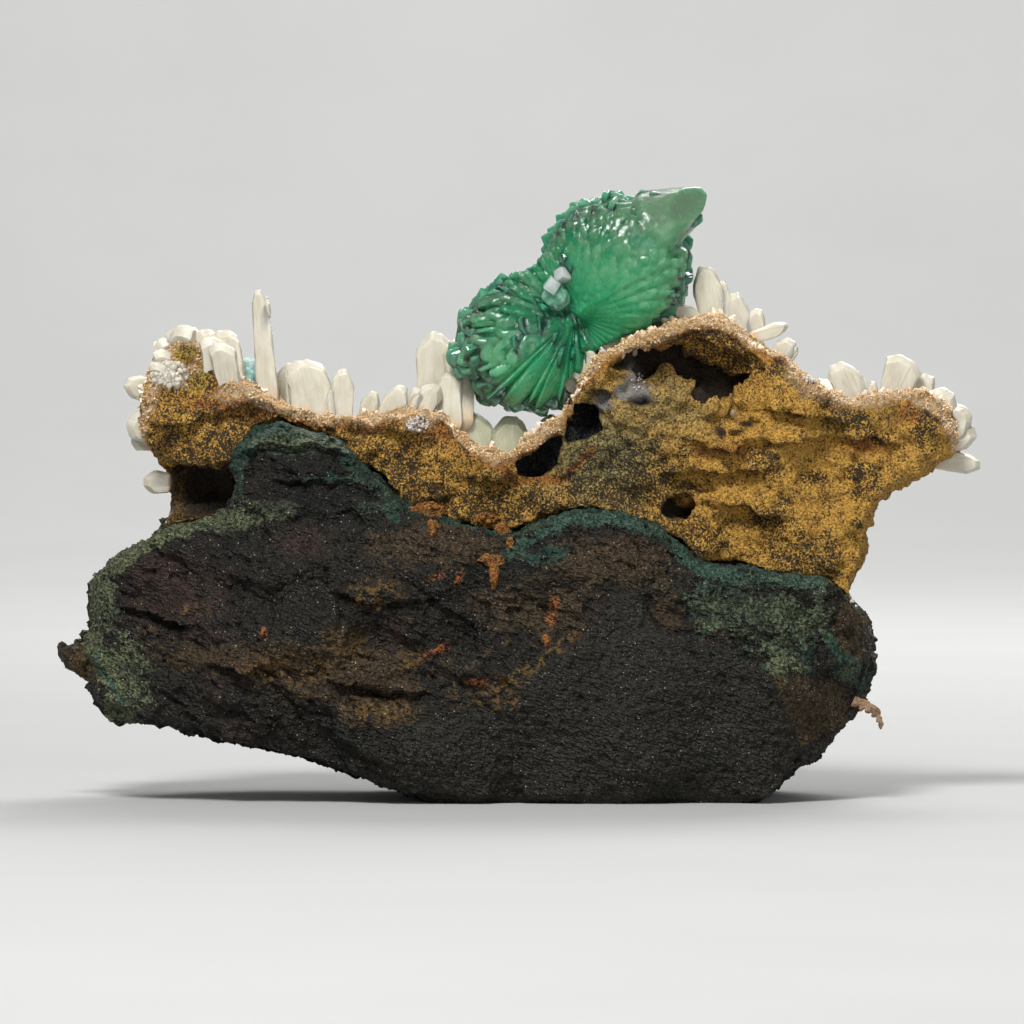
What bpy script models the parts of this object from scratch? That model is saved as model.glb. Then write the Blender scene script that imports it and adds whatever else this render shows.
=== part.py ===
"""Green apophyllite on white stilbite, with an ochre zeolite crust and its basalt.

The specimen is seen from its broken side: the basalt in front and below, the spongy
underside of the crust above it, and along the crest the stilbite blades with one
double fan of apophyllite. All sizes are in millimetres and made metres by MM.
X runs to the right, Y away from the viewer and Z up.
"""

import math
import random

import bmesh
import bpy
from mathutils import Matrix, Vector, noise
from mathutils.bvhtree import BVHTree

MM = 0.001
WELD_DISTANCE = 0.00001
BEYOND = 90.0

# The stones: their depth, how many faces they keep and the size of the even mesh
ROCK_FRONT_Y = -23.0
ROCK_BACK_Y = 20.0
ROCK_TRIANGLES = 1400
CRUST_FRONT_Y = -8.0
CRUST_BACK_Y = 30.0
CRUST_TRIANGLES = 1350
STONE_VOXEL = 1.2
# Their relief, as the size and height of lumps, ledges and grains, and the share of it
# that the outer edges keep, so that the outlines stay true
ROCK_RELIEF = ((15.0, 3.6), (8.0, 2.4), (6.0, 2.4))
CRUST_RELIEF = ((9.0, 2.8), (5.5, 1.8), (4.0, 2.2))
EDGE_RELIEF = 0.35
LEDGE_DIP = 0.25
LEDGE_WANDER = 1.4
# Gaps between neighbours, and how far a sharp corner may be moved to keep one
SEAM_GAP = 0.35
NEIGHBOUR_GAP = 0.4
LARGEST_STRETCH = 2.5
ROOM_GAP = 1.0
ROOM_TRIANGLES = 500
# A crystal's root below the surface, and the planes that cut its tip and its long edges:
# a point as shares of half the width and half the thickness, and the plane's facing
ROOT_DEPTH = 1.6
TIP_PLANES = [
    ((0.30, 0), (1, 0)), ((-0.42, 0), (-1, 0)), ((0, 0.35), (0, 0.8)), ((0, -0.45), (0, -0.8)),
]
TIP_STEEPNESS = 0.7
EDGE_PLANES = [
    ((0.90, 0.62), (0.5, 1)), ((-0.86, -0.66), (-0.5, -1)),
    ((0.88, -0.64), (0.6, -1)), ((-0.90, 0.60), (-0.6, 1)),
]

# The basalt's outline from the front, anticlockwise from the left end of its foot
ROCK_OUTLINE = [
    (-12, -2), (34.5, -2), (36.2, 1.9), (40, 5), (43.7, 7.2), (48.2, 11.4), (51.4, 15.6),
    (52.8, 18.6), (52, 23.6), (50.3, 27.8), (47.8, 30.2), (43.8, 33.2), (33.5, 34.4),
    (26.6, 35), (23, 38.6), (18.8, 41.4), (11.4, 42.6), (5, 42.2), (0, 40.4),
    (-4.4, 39.2), (-13, 41.2), (-18.4, 43), (-20.4, 47.6), (-25.4, 50.4), (-26.4, 54),
    (-31, 55.2), (-36.8, 56.2), (-41.4, 54), (-43.6, 50.6), (-42.4, 46.5), (-43.6, 42.6),
    (-49, 41.4), (-54, 40.2), (-58.6, 36.9), (-62.4, 34.2), (-64, 31.4), (-64.8, 24),
    (-64.4, 18), (-62.8, 13.4), (-59.4, 12.2), (-48.6, 10.2), (-33.6, 6.6), (-20, 3.2),
]
# The same block from the right-hand side, as depth and height
ROCK_SIDE = [
    (-17, -3), (13, -3), (18, 8), (20, 20), (18.5, 34), (13, 46), (5, 58), (-8, 58),
    (-13, 51), (-15.5, 43), (-20, 34), (-23, 20), (-21.5, 6),
]
# The same block from above
ROCK_PLAN = [
    (-66.5, -6), (-61, -13), (-46, -19.5), (-15, -23), (15, -23), (38, -20), (48, -13),
    (54, -5), (54, 6), (47, 15), (36, 20), (-44, 20), (-58, 14), (-66.5, 5),
]
NODULE_AT = (-67.0, -3.0, 20.5)
NODULE_SIZE = (3.1, 2.8, 3.4)

# The crust's crest from the front, from its right end over the top to its left end
CRUST_CREST = [
    (53.4, 45.6), (56.6, 47.6), (60, 49.4), (64.6, 51), (65.8, 53.4), (65, 56.6),
    (62, 59.7), (57.8, 60.8),
    (51.2, 59.6), (45.4, 60.5), (42.9, 63), (39, 66.6), (33.7, 70), (29, 72.1),
    (23.8, 71.7), (15.4, 69), (10.1, 64.8), (6.7, 60.5), (4.9, 56.4), (0.9, 53.2),
    (-2.9, 50.8), (-8, 51.8), (-9.2, 54.8), (-10.4, 57), (-13.2, 58.8), (-16.5, 58.2),
    (-20, 56.5), (-27.5, 56.7), (-33.4, 57.6), (-38, 60), (-41.5, 62), (-45.6, 63.8),
    (-47.6, 67), (-50, 70), (-53, 69.6), (-55.2, 67.4), (-55.4, 63), (-57.6, 60.2),
    (-58, 56), (-56.6, 52.8), (-53.4, 49),
]
# The rest of its outline, down the left side, along the ragged foot and up the right
CRUST_FOOT = [
    (-53, 41), (-51, 27), (-46, 14), (-36, 10), (-24, 13), (-10, 8), (2, 11), (16, 7),
    (30, 11), (40, 9), (45, 15), (47.8, 27), (50.2, 33), (51.6, 38),
]
# The same crust from the right-hand side, as depth and height
CRUST_SIDE = [
    (16, 5), (23, 8), (26.5, 20), (26.5, 34), (24, 48), (18.5, 60), (11, 69), (4, 76),
    (-3.5, 75), (-6, 66), (-5, 55), (-3, 46), (-3, 5),
]
# The same crust from above
CRUST_PLAN = [
    (-57, -7), (56, -7), (66, -4), (68, 7), (62, 18), (50, 25), (22, 28), (-20, 28),
    (-44, 26), (-54, 18), (-60, 6),
]
# The lip that the crystals of the crest form along the broken edge
LIP_RADIUS = 1.1
LIP_Y = -4.6
# The top of the crust falls away behind the crest: where it starts, the height below
# which nothing is lowered, the height over which that sets in and the fall per depth
SLOPE_START_Y = 3.0
SLOPE_FOOT_Z = 24.0
SLOPE_BLEND = 26.0
SLOPE_FALL = 0.55
# Hollows in the crust's underside: centre and half sizes
CRUST_HOLLOWS = [
    ((24.5, -6.0, 65.0), (10.0, 11.0, 3.9)),
    ((31.5, -6.0, 61.5), (5.2, 11.0, 3.2)),
    ((9.6, -5.5, 57.0), (3.6, 6.5, 3.4)),
    ((1.6, -5.0, 50.6), (3.6, 6.0, 2.2)),
    ((-49.0, -6.0, 46.0), (7.4, 12.0, 4.3)),
    ((23.0, -4.5, 43.5), (2.0, 5.0, 1.7)),
    ((50.0, -5.5, 54.5), (6.5, 3.2, 1.6)),
    ((33.0, -5.5, 47.5), (9.0, 3.0, 1.7)),
    ((-12.5, -5.5, 54.6), (4.6, 3.4, 2.0)),
]

# Where the double fan of apophyllite starts, and the reach of its blades: pairs of the
# angle from +X in degrees, anticlockwise from the front, and the length
FAN_CENTRE = (7.7, 4.5, 72.2)
FAN_REACH = [
    (-24, 9.5), (-8, 12.8), (6, 16.2), (18, 18.6), (30, 21.6), (43, 27.6), (56, 22.8),
    (70, 20.6), (86, 17.8), (104, 13.4), (117, 8.2), (130, 8.2), (146, 12.0), (162, 15.0),
    (182, 18.8), (203, 21.5), (220, 20.2), (235, 18.4), (249, 17.0), (261, 13.8),
    (296, 6.2), (336, 9.5),
]
RIGHT_FAN = (-20, 108)
LEFT_FAN = (132, 258)
FAN_BLADES = 7
# Rings of blades towards the viewer and away, in degrees from the fans' own plane
FAN_RINGS = (-48, -24, 0, 24, 48)
# A blade's width and thickness as shares of its length, its half width at the root and
# near the tip as shares of its width, and where along it the low pyramid starts
FAN_WIDTH = 0.36
FAN_THICK = 0.26
FAN_ROOT = 0.22
FAN_HEAD = 0.7
FAN_SHOULDER = 0.8
# The blades out of the fans' plane are fewer and shorter: from which rise, over how many
# degrees and by how much, and the share of them that stands at any rise
SHORTER_FROM = 20.0
SHORTER_OVER = 50.0
SHORTER_BY = 0.6
BLADES_AT_LEAST = 0.55
# Every second ring is set off by this share of a blade
RING_STAGGER = 0.35
# Chance in a blade's length and its twist in degrees
FAN_LENGTHS = (0.95, 1.02)
FAN_TWIST = 20.0
# The mass that the blades have grown into, as a share of their reach, and its radius at
# the poles, from where it rounds off
FAN_CORE_SHARE = 0.78
FAN_POLE_RADIUS = 4.5
FAN_POLE_FROM = 60.0
QUARTER_TURN = 90.0
# The two small clear blocks where the fans meet: centre, size and turn in degrees
CLEAR_BLOCKS = [
    ((4.2, -3.4, 77.2), 2.3, (20, 35, 12)),
    ((6.0, -2.4, 78.2), 2.5, (-25, 10, 40)),
]


class Blade:
    """One stilbite blade: where it roots, how it leans and how large it is."""

    def __init__(self, x, z, lean, length, width, thick, y=4.0, back=0.0, spin=0.0,
                 peak=0.45, taper=0.86, corners=True):
        self.root = Vector((x, y, z))
        self.lean = lean
        self.back = back
        self.spin = spin
        self.size = (width, thick, length)
        self.peak = peak
        self.taper = taper
        self.corners = corners


# Each node of stilbite along the crest and the ends, as the blades grown together in it
STILBITES = {
    "stilbite_left_low": [Blade(-53.6, 47.2, -88, 3.9, 3.4, 2.4, y=2)],
    "stilbite_left_lump": [
        Blade(-56.2, 55.0, -62, 3.8, 4.6, 3.4, y=2),
        Blade(-56.6, 53.2, -80, 2.8, 3.0, 3.0, y=4),
    ],
    "stilbite_left_tip": [Blade(-56.0, 60.6, -66, 4.6, 3.6, 2.8, y=3)],
    "stilbite_knob_side": [Blade(-52.4, 64.6, -32, 4.4, 5.0, 3.6, y=5.0)],
    "stilbite_knob_top": [Blade(-50.2, 66.0, -4, 4.6, 4.4, 3.6, y=5.5)],
    "stilbite_twin": [
        Blade(-47.0, 63.4, -12, 7.5, 3.2, 2.8, y=5.2, peak=0.7),
        Blade(-44.2, 62.0, -9, 8.4, 3.2, 3.0, y=4.0, peak=0.6),
    ],
    "stilbite_spike": [Blade(-38.8, 60.2, -4, 16.4, 3.2, 2.4, y=2.4, peak=0.9, taper=0.8)],
    "stilbite_glassy": [Blade(-35.8, 56.2, 4, 9.2, 3.6, 2.8, y=9)],
    "stilbite_broad": [
        Blade(-33.4, 57.2, -1, 9.2, 3.4, 3.2, y=4.4),
        Blade(-30.2, 57.0, -14, 9.2, 4.4, 3.2, y=3.4, peak=0.7),
    ],
    "stilbite_upright": [Blade(-27.2, 56.6, -2, 7.8, 3.4, 2.4, y=1.6, peak=0.8)],
    "stilbite_short": [Blade(-24.0, 56.4, 16, 4.8, 2.8, 2.0, y=4.6)],
    "stilbite_leaning": [Blade(-20.6, 56.6, 26, 5.8, 4.0, 2.4, y=1.8)],
    "stilbite_rear": [Blade(-16.6, 55.6, 4, 6.0, 2.8, 2.4, y=8)],
    "stilbite_tall": [Blade(-14.0, 55.4, 2, 14.8, 4.6, 3.6, y=9.2, peak=0.35)],
    "stilbite_wedge": [Blade(-15.2, 58.4, 30, 4.2, 3.4, 3.0, y=2.6)],
    "stilbite_block": [
        Blade(-9.4, 57.6, -3, 11.6, 4.2, 4.4, y=5.4, back=12, spin=6, taper=0.94),
        Blade(-7.2, 55.4, 5, 8.4, 3.4, 3.4, y=4.2, back=9, spin=-9, taper=0.9),
    ],
    "stilbite_valley_large": [
        Blade(-5.6, 50.2, -20, 7.8, 5.0, 3.8, y=6.5, peak=0.3),
        Blade(-2.2, 50.2, 2, 7.2, 5.4, 3.8, y=5.0, peak=0.5),
    ],
    "stilbite_valley_small": [Blade(3.0, 51.8, 16, 5.8, 4.4, 3.2, y=6.5)],
    "stilbite_slope_fan": [
        Blade(10.4, 63.4, -46, 5.2, 5.0, 2.8, y=1.6, peak=0.3),
        Blade(9.0, 61.6, -62, 4.2, 3.6, 2.6, y=3.0),
    ],
    "stilbite_slope_blade": [Blade(14.4, 67.6, -38, 5.8, 4.4, 2.8, y=3.2)],
    "stilbite_tongue": [
        Blade(28.8, 70.8, -11, 9.4, 4.4, 2.6, y=5.4, peak=0.5),
        Blade(27.4, 70.4, -58, 6.2, 3.0, 2.4, y=4.2),
    ],
    "stilbite_hill_fan": [
        Blade(32.8, 68.2, -9, 7.8, 3.8, 2.6, y=5.6),
        Blade(34.2, 68.8, 14, 4.8, 3.0, 2.4, y=5.6),
        Blade(35.0, 69.2, 72, 5.0, 2.2, 2.0, y=4.2),
    ],
    "stilbite_hill_small": [Blade(38.4, 65.6, 32, 3.8, 3.6, 2.4, y=4.4)],
    "stilbite_right_striated": [Blade(50.4, 58.2, -21, 7.8, 4.2, 3.0, y=4.6)],
    "stilbite_right_spike": [Blade(52.3, 59.0, 4, 3.6, 1.5, 1.5, y=1.8)],
    "stilbite_right_wide": [Blade(55.2, 58.6, 20, 8.0, 4.7, 3.2, y=5.6, peak=0.25)],
    "stilbite_right_back": [Blade(58.2, 57.2, 28, 7.0, 4.0, 2.8, y=8)],
    "stilbite_end_upper": [Blade(61.6, 58.0, 24, 4.6, 4.4, 3.4, y=4)],
    "stilbite_end_middle": [Blade(63.8, 55.4, 60, 4.8, 4.2, 3.2, y=5)],
    "stilbite_end_tongue": [Blade(62.6, 50.4, 94, 6.4, 2.9, 2.6, y=4.6)],
}
SMALL_APOPHYLLITE = [
    Blade(-41.4, 60.6, -4, 6.6, 2.2, 2.2, y=7.0, peak=0.2),
    Blade(-42.2, 60.6, -14, 5.6, 1.9, 2.0, y=6.4, peak=0.2),
    Blade(-40.6, 60.4, 12, 5.0, 1.9, 2.0, y=7.6, peak=0.2),
]
# Sheaves of the side turned away from the viewer: place across, height, how far above
# the level they face and the lean of the middle blade
FAR_SHEAVES = [
    (-47, 50, 62, 6), (-34, 50, 40, -6), (-22, 48, 66, 12), (-9, 44, 34, -8),
    (5, 42, 62, 8), (18, 54, 30, -10), (33, 52, 40, 12), (46, 50, 64, -4),
    (58, 48, 50, 14), (-41, 36, 8, 14), (-25, 33, 12, -12), (-10, 29, 6, 8),
    (6, 34, 10, -14), (22, 36, 12, 4), (38, 38, 10, -8), (41, 22, 4, 12),
    (-31, 20, 6, 4), (23, 23, 8, -8), (1, 17, 4, 12),
]
SHEAF_LENGTH = 9.5
SHEAF_WIDTH = 5.0
SHEAF_THICK = 3.2
SHEAF_SPREAD = 16.0
SHEAF_UPRIGHT = 0.85
SHEAF_AIM_Y = 11.0
# The sheaf's outer blades: how much shorter than the middle one, and their place beside
# it, behind it and tipped away from it
SIDE_BLADE_SHARE = 0.82
SIDE_BLADE_STEP = (1.1, 0.4)
SIDE_BLADE_TIP = 7.0
# Chance in the sheaves' size, their blades' turn in degrees and how pointed they are
SHEAF_SIZES = (0.8, 1.25)
SHEAF_SPIN = 25.0
SHEAF_PEAKS = (0.3, 0.7)


def clear_scene():
    for obj in list(bpy.data.objects):
        bpy.data.objects.remove(obj)


def collection(name):
    made = bpy.data.collections.new(name)
    bpy.context.scene.collection.children.link(made)
    return made


def material(name, colour, roughness, transmission=0.0):
    made = bpy.data.materials.new(name)
    made.use_nodes = True
    shader = made.node_tree.nodes["Principled BSDF"]
    shader.inputs["Base Color"].default_value = (*colour, 1.0)
    shader.inputs["Roughness"].default_value = roughness
    shader.inputs["Metallic"].default_value = 0.0
    shader.inputs["Transmission Weight"].default_value = transmission
    made.diffuse_color = (*colour, 1.0)
    return made


def new_object(name, mesh):
    made = bpy.data.objects.new(name, mesh)
    bpy.context.scene.collection.objects.link(made)
    return made


def delete(*objects):
    for obj in objects:
        bpy.data.objects.remove(obj)


def as_mesh(obj):
    """The object as its modifiers leave it, as a plain mesh with welded caps."""
    bpy.context.view_layer.update()
    graph = bpy.context.evaluated_depsgraph_get()
    mesh = bpy.data.meshes.new_from_object(obj.evaluated_get(graph))
    mesh.transform(obj.matrix_world)
    body = bmesh.new()
    body.from_mesh(mesh)
    bmesh.ops.remove_doubles(body, verts=body.verts, dist=WELD_DISTANCE)
    bmesh.ops.recalc_face_normals(body, faces=body.faces)
    body.to_mesh(mesh)
    body.free()
    name = obj.name
    delete(obj)
    return new_object(name, mesh)


def combine(obj, other, operation):
    """obj joined with, cut by or limited to other, which is used up."""
    change = obj.modifiers.new(operation.lower(), "BOOLEAN")
    change.operation = operation
    change.object = other
    made = as_mesh(obj)
    delete(other)
    return made


def copy_of(obj, name):
    return new_object(name, obj.data.copy())


def grown(obj, gap):
    """A copy of obj whose faces all stand out by gap, to cut its neighbours with."""
    made = copy_of(obj, obj.name + "_cutter")
    body = bmesh.new()
    body.from_mesh(made.data)
    steps = [v.normal * min(v.calc_shell_factor(), LARGEST_STRETCH) for v in body.verts]
    for vert, step in zip(body.verts, steps):
        vert.co += step * gap * MM
    body.to_mesh(made.data)
    body.free()
    return made


def touches(a, b, reach=1.0 * MM):
    """True where the boxes round two meshes come within reach of each other."""
    for axis in range(3):
        low_a = min(v.co[axis] for v in a.data.vertices)
        high_a = max(v.co[axis] for v in a.data.vertices)
        low_b = min(v.co[axis] for v in b.data.vertices)
        high_b = max(v.co[axis] for v in b.data.vertices)
        if low_a > high_b + reach or low_b > high_a + reach:
            return False
    return True


def keep_largest(obj):
    """Drops the crumbs that a cut leaves beside the main body."""
    body = bmesh.new()
    body.from_mesh(obj.data)
    left = set(body.verts)
    islands = []
    while left:
        island = set()
        edge_of = [left.pop()]
        while edge_of:
            vert = edge_of.pop()
            island.add(vert)
            near = {e.other_vert(vert) for e in vert.link_edges} & left
            left -= near
            edge_of.extend(near)
        islands.append(island)
    islands.sort(key=len)
    for island in islands[:-1]:
        bmesh.ops.delete(body, geom=list(island), context="VERTS")
    body.to_mesh(obj.data)
    body.free()
    return obj


def cut_clear(obj, others, room=None):
    """Cuts obj back from each neighbour that it would overlap, and out of a stated room."""
    if room and touches(obj, room):
        obj = combine(obj, copy_of(room, "room_cutter"), "DIFFERENCE")
    for other in others:
        if touches(obj, other):
            obj = combine(obj, grown(other, NEIGHBOUR_GAP), "DIFFERENCE")
        if not obj.data.vertices:
            raise ValueError(f"nothing of {obj.name} is left beside {other.name}")
    return keep_largest(obj)


def outline_block(name, points, near, far, turn):
    """A filled outline in its own plane, given a thickness from near to far and turned."""
    curve = bpy.data.curves.new(name, "CURVE")
    curve.dimensions = "2D"
    curve.fill_mode = "BOTH"
    curve.extrude = (far - near) / 2 * MM
    spline = curve.splines.new("POLY")
    spline.points.add(len(points) - 1)
    for point, (u, v) in zip(spline.points, points):
        point.co = (u * MM, v * MM, 0.0, 1.0)
    spline.use_cyclic_u = True
    obj = new_object(name, curve)
    obj.matrix_world = turn @ Matrix.Translation((0, 0, (near + far) / 2 * MM))
    return as_mesh(obj)


# Turns an outline in X and Y, with its thickness along Z, to face the viewer or the side
FACE_FRONT = Matrix(((1, 0, 0, 0), (0, 0, 1, 0), (0, 1, 0, 0), (0, 0, 0, 1)))
FACE_SIDE = Matrix(((0, 0, 1, 0), (1, 0, 0, 0), (0, 1, 0, 0), (0, 0, 0, 1)))
FACE_UP = Matrix.Identity(4)


def relief(point, lump, ledge, grain):
    """How far stone stands out at a point: broad lumps, stepped ledges and grains."""
    at = point / MM
    size, height = lump
    out = height * noise.noise(at / size)
    size, height = ledge
    course = (at.z + LEDGE_DIP * at.x) / size + LEDGE_WANDER * noise.noise(at / (2.5 * size))
    out += height * (0.5 - (course - math.floor(course)))
    size, height = grain
    out += height * (0.45 - noise.voronoi(at / size)[0][0])
    return out * MM


def even_mesh(obj):
    """The same form in small even faces, with no fold that passes through itself."""
    remesh = obj.modifiers.new("even mesh", "REMESH")
    remesh.mode = "VOXEL"
    remesh.voxel_size = STONE_VOXEL * MM
    smooth = obj.modifiers.new("soften", "SMOOTH")
    smooth.factor = 0.5
    smooth.iterations = 2
    return as_mesh(obj)


def roughen(obj, lump, ledge, grain):
    """Gives a block the lumps, ledges and chips of broken stone, as sizes and heights."""
    stone = even_mesh(obj)
    normals = [v.normal.copy() for v in stone.data.vertices]
    for vert, normal in zip(stone.data.vertices, normals):
        facing = EDGE_RELIEF + (1 - EDGE_RELIEF) * abs(normal.y)
        vert.co += normal * facing * relief(vert.co, lump, ledge, grain)
    return even_mesh(stone)


def thin_out(obj, triangles):
    """Lowers the number of faces to about the given number of triangles."""
    reduce = obj.modifiers.new("fewer faces", "DECIMATE")
    reduce.ratio = triangles / (2 * len(obj.data.polygons))
    return as_mesh(obj)


def cube_between(low, high, name):
    bpy.ops.mesh.primitive_cube_add(size=1.0)
    obj = bpy.context.object
    obj.name = name
    low, high = Vector(low) * MM, Vector(high) * MM
    obj.location = (low + high) / 2
    obj.scale = high - low
    return as_mesh(obj)


def ball(name, centre, half_sizes):
    bpy.ops.mesh.primitive_ico_sphere_add(subdivisions=2, radius=1.0)
    obj = bpy.context.object
    obj.name = name
    obj.location = Vector(centre) * MM
    obj.scale = Vector(half_sizes) * MM
    return as_mesh(obj)


def crest_lip():
    """A rounded cord of small crystals along the crust's broken edge."""
    curve = bpy.data.curves.new("lip", "CURVE")
    curve.dimensions = "3D"
    curve.bevel_depth = LIP_RADIUS * MM
    curve.bevel_resolution = 1
    curve.use_fill_caps = True
    spline = curve.splines.new("POLY")
    spline.points.add(len(CRUST_CREST) - 1)
    for point, (x, z) in zip(spline.points, CRUST_CREST):
        point.co = (x * MM, LIP_Y * MM, (z - LIP_RADIUS) * MM, 1.0)
    return as_mesh(new_object("lip", curve))


def make_basalt():
    """The host rock: a block with a broken front face, a low hump and a flat foot."""
    rock = outline_block("basalt_matrix", ROCK_OUTLINE, ROCK_FRONT_Y, ROCK_BACK_Y, FACE_FRONT)
    side = outline_block("rock_side", ROCK_SIDE, -BEYOND, BEYOND, FACE_SIDE)
    rock = combine(rock, side, "INTERSECT")
    plan = outline_block("rock_plan", ROCK_PLAN, -BEYOND, BEYOND, FACE_UP)
    rock = combine(rock, plan, "INTERSECT")
    rock = combine(rock, ball("nodule", NODULE_AT, NODULE_SIZE), "UNION")
    rock = roughen(rock, *ROCK_RELIEF)
    rock = thin_out(rock, ROCK_TRIANGLES)
    below = cube_between((-BEYOND, -BEYOND, -BEYOND), (BEYOND, BEYOND, 0), "ground_cutter")
    return keep_largest(combine(rock, below, "DIFFERENCE"))


def slope_far_side(crust):
    """Lets the top of the crust fall away from its crest to the far side."""
    for vert in crust.data.vertices:
        x, y, z = vert.co / MM
        behind = max(0, y - SLOPE_START_Y)
        upper = min(max((z - SLOPE_FOOT_Z) / SLOPE_BLEND, 0), 1)
        vert.co.z -= SLOPE_FALL * behind * upper * MM
    return crust


def make_crust(rock):
    """The zeolite crust that lay on the basalt, with the hollows of its underside."""
    outline = CRUST_CREST + CRUST_FOOT
    crust = outline_block("zeolite_crust", outline, CRUST_FRONT_Y, CRUST_BACK_Y, FACE_FRONT)
    side = outline_block("crust_side", CRUST_SIDE, -BEYOND, BEYOND, FACE_SIDE)
    crust = combine(crust, side, "INTERSECT")
    plan = outline_block("crust_plan", CRUST_PLAN, -BEYOND, BEYOND, FACE_UP)
    crust = combine(crust, plan, "INTERSECT")
    for number, (centre, half_sizes) in enumerate(CRUST_HOLLOWS):
        crust = combine(crust, ball(f"hollow_{number}", centre, half_sizes), "DIFFERENCE")
    crust = combine(crust, crest_lip(), "UNION")
    crust = slope_far_side(even_mesh(crust))
    front = outline_block("crust_front", outline, -BEYOND, BEYOND, FACE_FRONT)
    crust = combine(crust, front, "INTERSECT")
    crust = roughen(crust, *CRUST_RELIEF)
    crust = thin_out(crust, CRUST_TRIANGLES)
    return keep_largest(combine(crust, grown(rock, SEAM_GAP), "DIFFERENCE"))


def crystal_block(name, width, thick, length, peak, taper, corners):
    """A box cut by the end faces of a crystal. It stands on Z, its root at the origin."""
    body = bmesh.new()
    bmesh.ops.create_cube(body, size=1.0)
    for vert in body.verts:
        top = vert.co.z > 0
        share = 1.0 if top else taper
        vert.co.x *= width * share * MM
        vert.co.y *= thick * share * MM
        vert.co.z = (length if top else -ROOT_DEPTH) * MM
    half_w, half_t = width / 2 * MM, thick / 2 * MM
    cuts = []
    for (u, v), (across, through) in TIP_PLANES:
        up = TIP_STEEPNESS * (half_w if across else half_t)
        facing = (across * peak * width * MM, through * peak * width * MM, up)
        cuts.append(((u * half_w, v * half_t, length * MM), facing))
    if corners:
        for (u, v), (across, through) in EDGE_PLANES:
            cuts.append(((u * half_w, v * half_t, 0), (across, through, 0)))
    for point, normal in cuts:
        geometry = body.verts[:] + body.edges[:] + body.faces[:]
        bmesh.ops.bisect_plane(
            body, geom=geometry, plane_co=point, plane_no=Vector(normal).normalized(),
            clear_outer=True, dist=0.000001,
        )
        rim = [e for e in body.edges if e.is_boundary]
        bmesh.ops.edgeloop_fill(body, edges=rim)
    bmesh.ops.recalc_face_normals(body, faces=body.faces)
    mesh = bpy.data.meshes.new(name)
    body.to_mesh(mesh)
    body.free()
    return new_object(name, mesh)


def standing(blade):
    """Where a blade stands: leaned to the right and to the back, at its root."""
    return (
        Matrix.Translation(blade.root * MM)
        @ Matrix.Rotation(math.radians(blade.lean), 4, "Y")
        @ Matrix.Rotation(math.radians(-blade.back), 4, "X")
        @ Matrix.Rotation(math.radians(blade.spin), 4, "Z")
    )


def grow(name, blades):
    """The blades of one node, joined into one solid."""
    made = None
    for number, blade in enumerate(blades):
        block = crystal_block(
            f"{name}_{number}", *blade.size, blade.peak, blade.taper, blade.corners
        )
        block.data.transform(standing(blade))
        made = combine(made, block, "UNION") if made else block
    made.name = name
    return made


def middle_of(obj):
    corners = [v.co for v in obj.data.vertices]
    low = Vector([min(c[axis] for c in corners) for axis in range(3)])
    high = Vector([max(c[axis] for c in corners) for axis in range(3)])
    return (low + high) / 2


def surface_of(obj):
    graph = bpy.context.evaluated_depsgraph_get()
    bpy.context.view_layer.update()
    return BVHTree.FromObject(obj, graph)


def make_stilbites(crust, room):
    """The blades of the crest and the ends, each set cut to sit on the crust."""
    made = []
    for name, blades in STILBITES.items():
        made.append(cut_clear(grow(name, blades), [crust, *made], room))
    return made


def make_far_sheaves(crust, rock, made, room):
    """Sheaves of three blades over the far side, standing off the crust's surface."""
    surface = surface_of(crust)
    dice = random.Random(7)
    sheaves = []
    for number, (x, z, rise, lean) in enumerate(FAR_SHEAVES):
        inward = Vector((0, -math.cos(math.radians(rise)), -math.sin(math.radians(rise))))
        start = Vector((x, SHEAF_AIM_Y, z)) - BEYOND * inward
        point, normal, _, _ = surface.ray_cast(start * MM, inward)
        if point is None:
            raise ValueError(f"sheaf {number} misses the crust")
        out = math.degrees(math.atan2(normal.y, normal.z)) * SHEAF_UPRIGHT
        size = dice.uniform(*SHEAF_SIZES)
        blades = []
        for fan in (-1, 0, 1):
            across, behind = fan * SIDE_BLADE_STEP[0], fan * SIDE_BLADE_STEP[1]
            length = SHEAF_LENGTH * size * (SIDE_BLADE_SHARE if fan else 1.0)
            blades.append(Blade(
                point.x / MM + across, point.z / MM, lean + fan * SHEAF_SPREAD,
                length, SHEAF_WIDTH * size, SHEAF_THICK * size, y=point.y / MM + behind,
                back=out + SIDE_BLADE_TIP * fan, spin=dice.uniform(-SHEAF_SPIN, SHEAF_SPIN),
                peak=dice.uniform(*SHEAF_PEAKS), corners=False,
            ))
        sheaf = grow(f"stilbite_back_{number + 1:02d}", blades)
        sheaves.append(cut_clear(sheaf, [crust, rock, *made, *sheaves], room))
    return sheaves


def reach_at(angle):
    """The fans' reach at an angle from +X, read between the stated pairs."""
    angle = (angle - FAN_REACH[0][0]) % 360 + FAN_REACH[0][0]
    for (a0, r0), (a1, r1) in zip(FAN_REACH, FAN_REACH[1:]):
        if a0 <= angle <= a1:
            return r0 + (r1 - r0) * (angle - a0) / (a1 - a0)
    return FAN_REACH[-1][1]


def ring_share(rise):
    """How far a blade reaches that rises out of the fans' plane, against one in it."""
    slope = min(max((abs(rise) - SHORTER_FROM) / SHORTER_OVER, 0), 1)
    return 1 - SHORTER_BY * slope * slope * (3 - 2 * slope)


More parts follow.
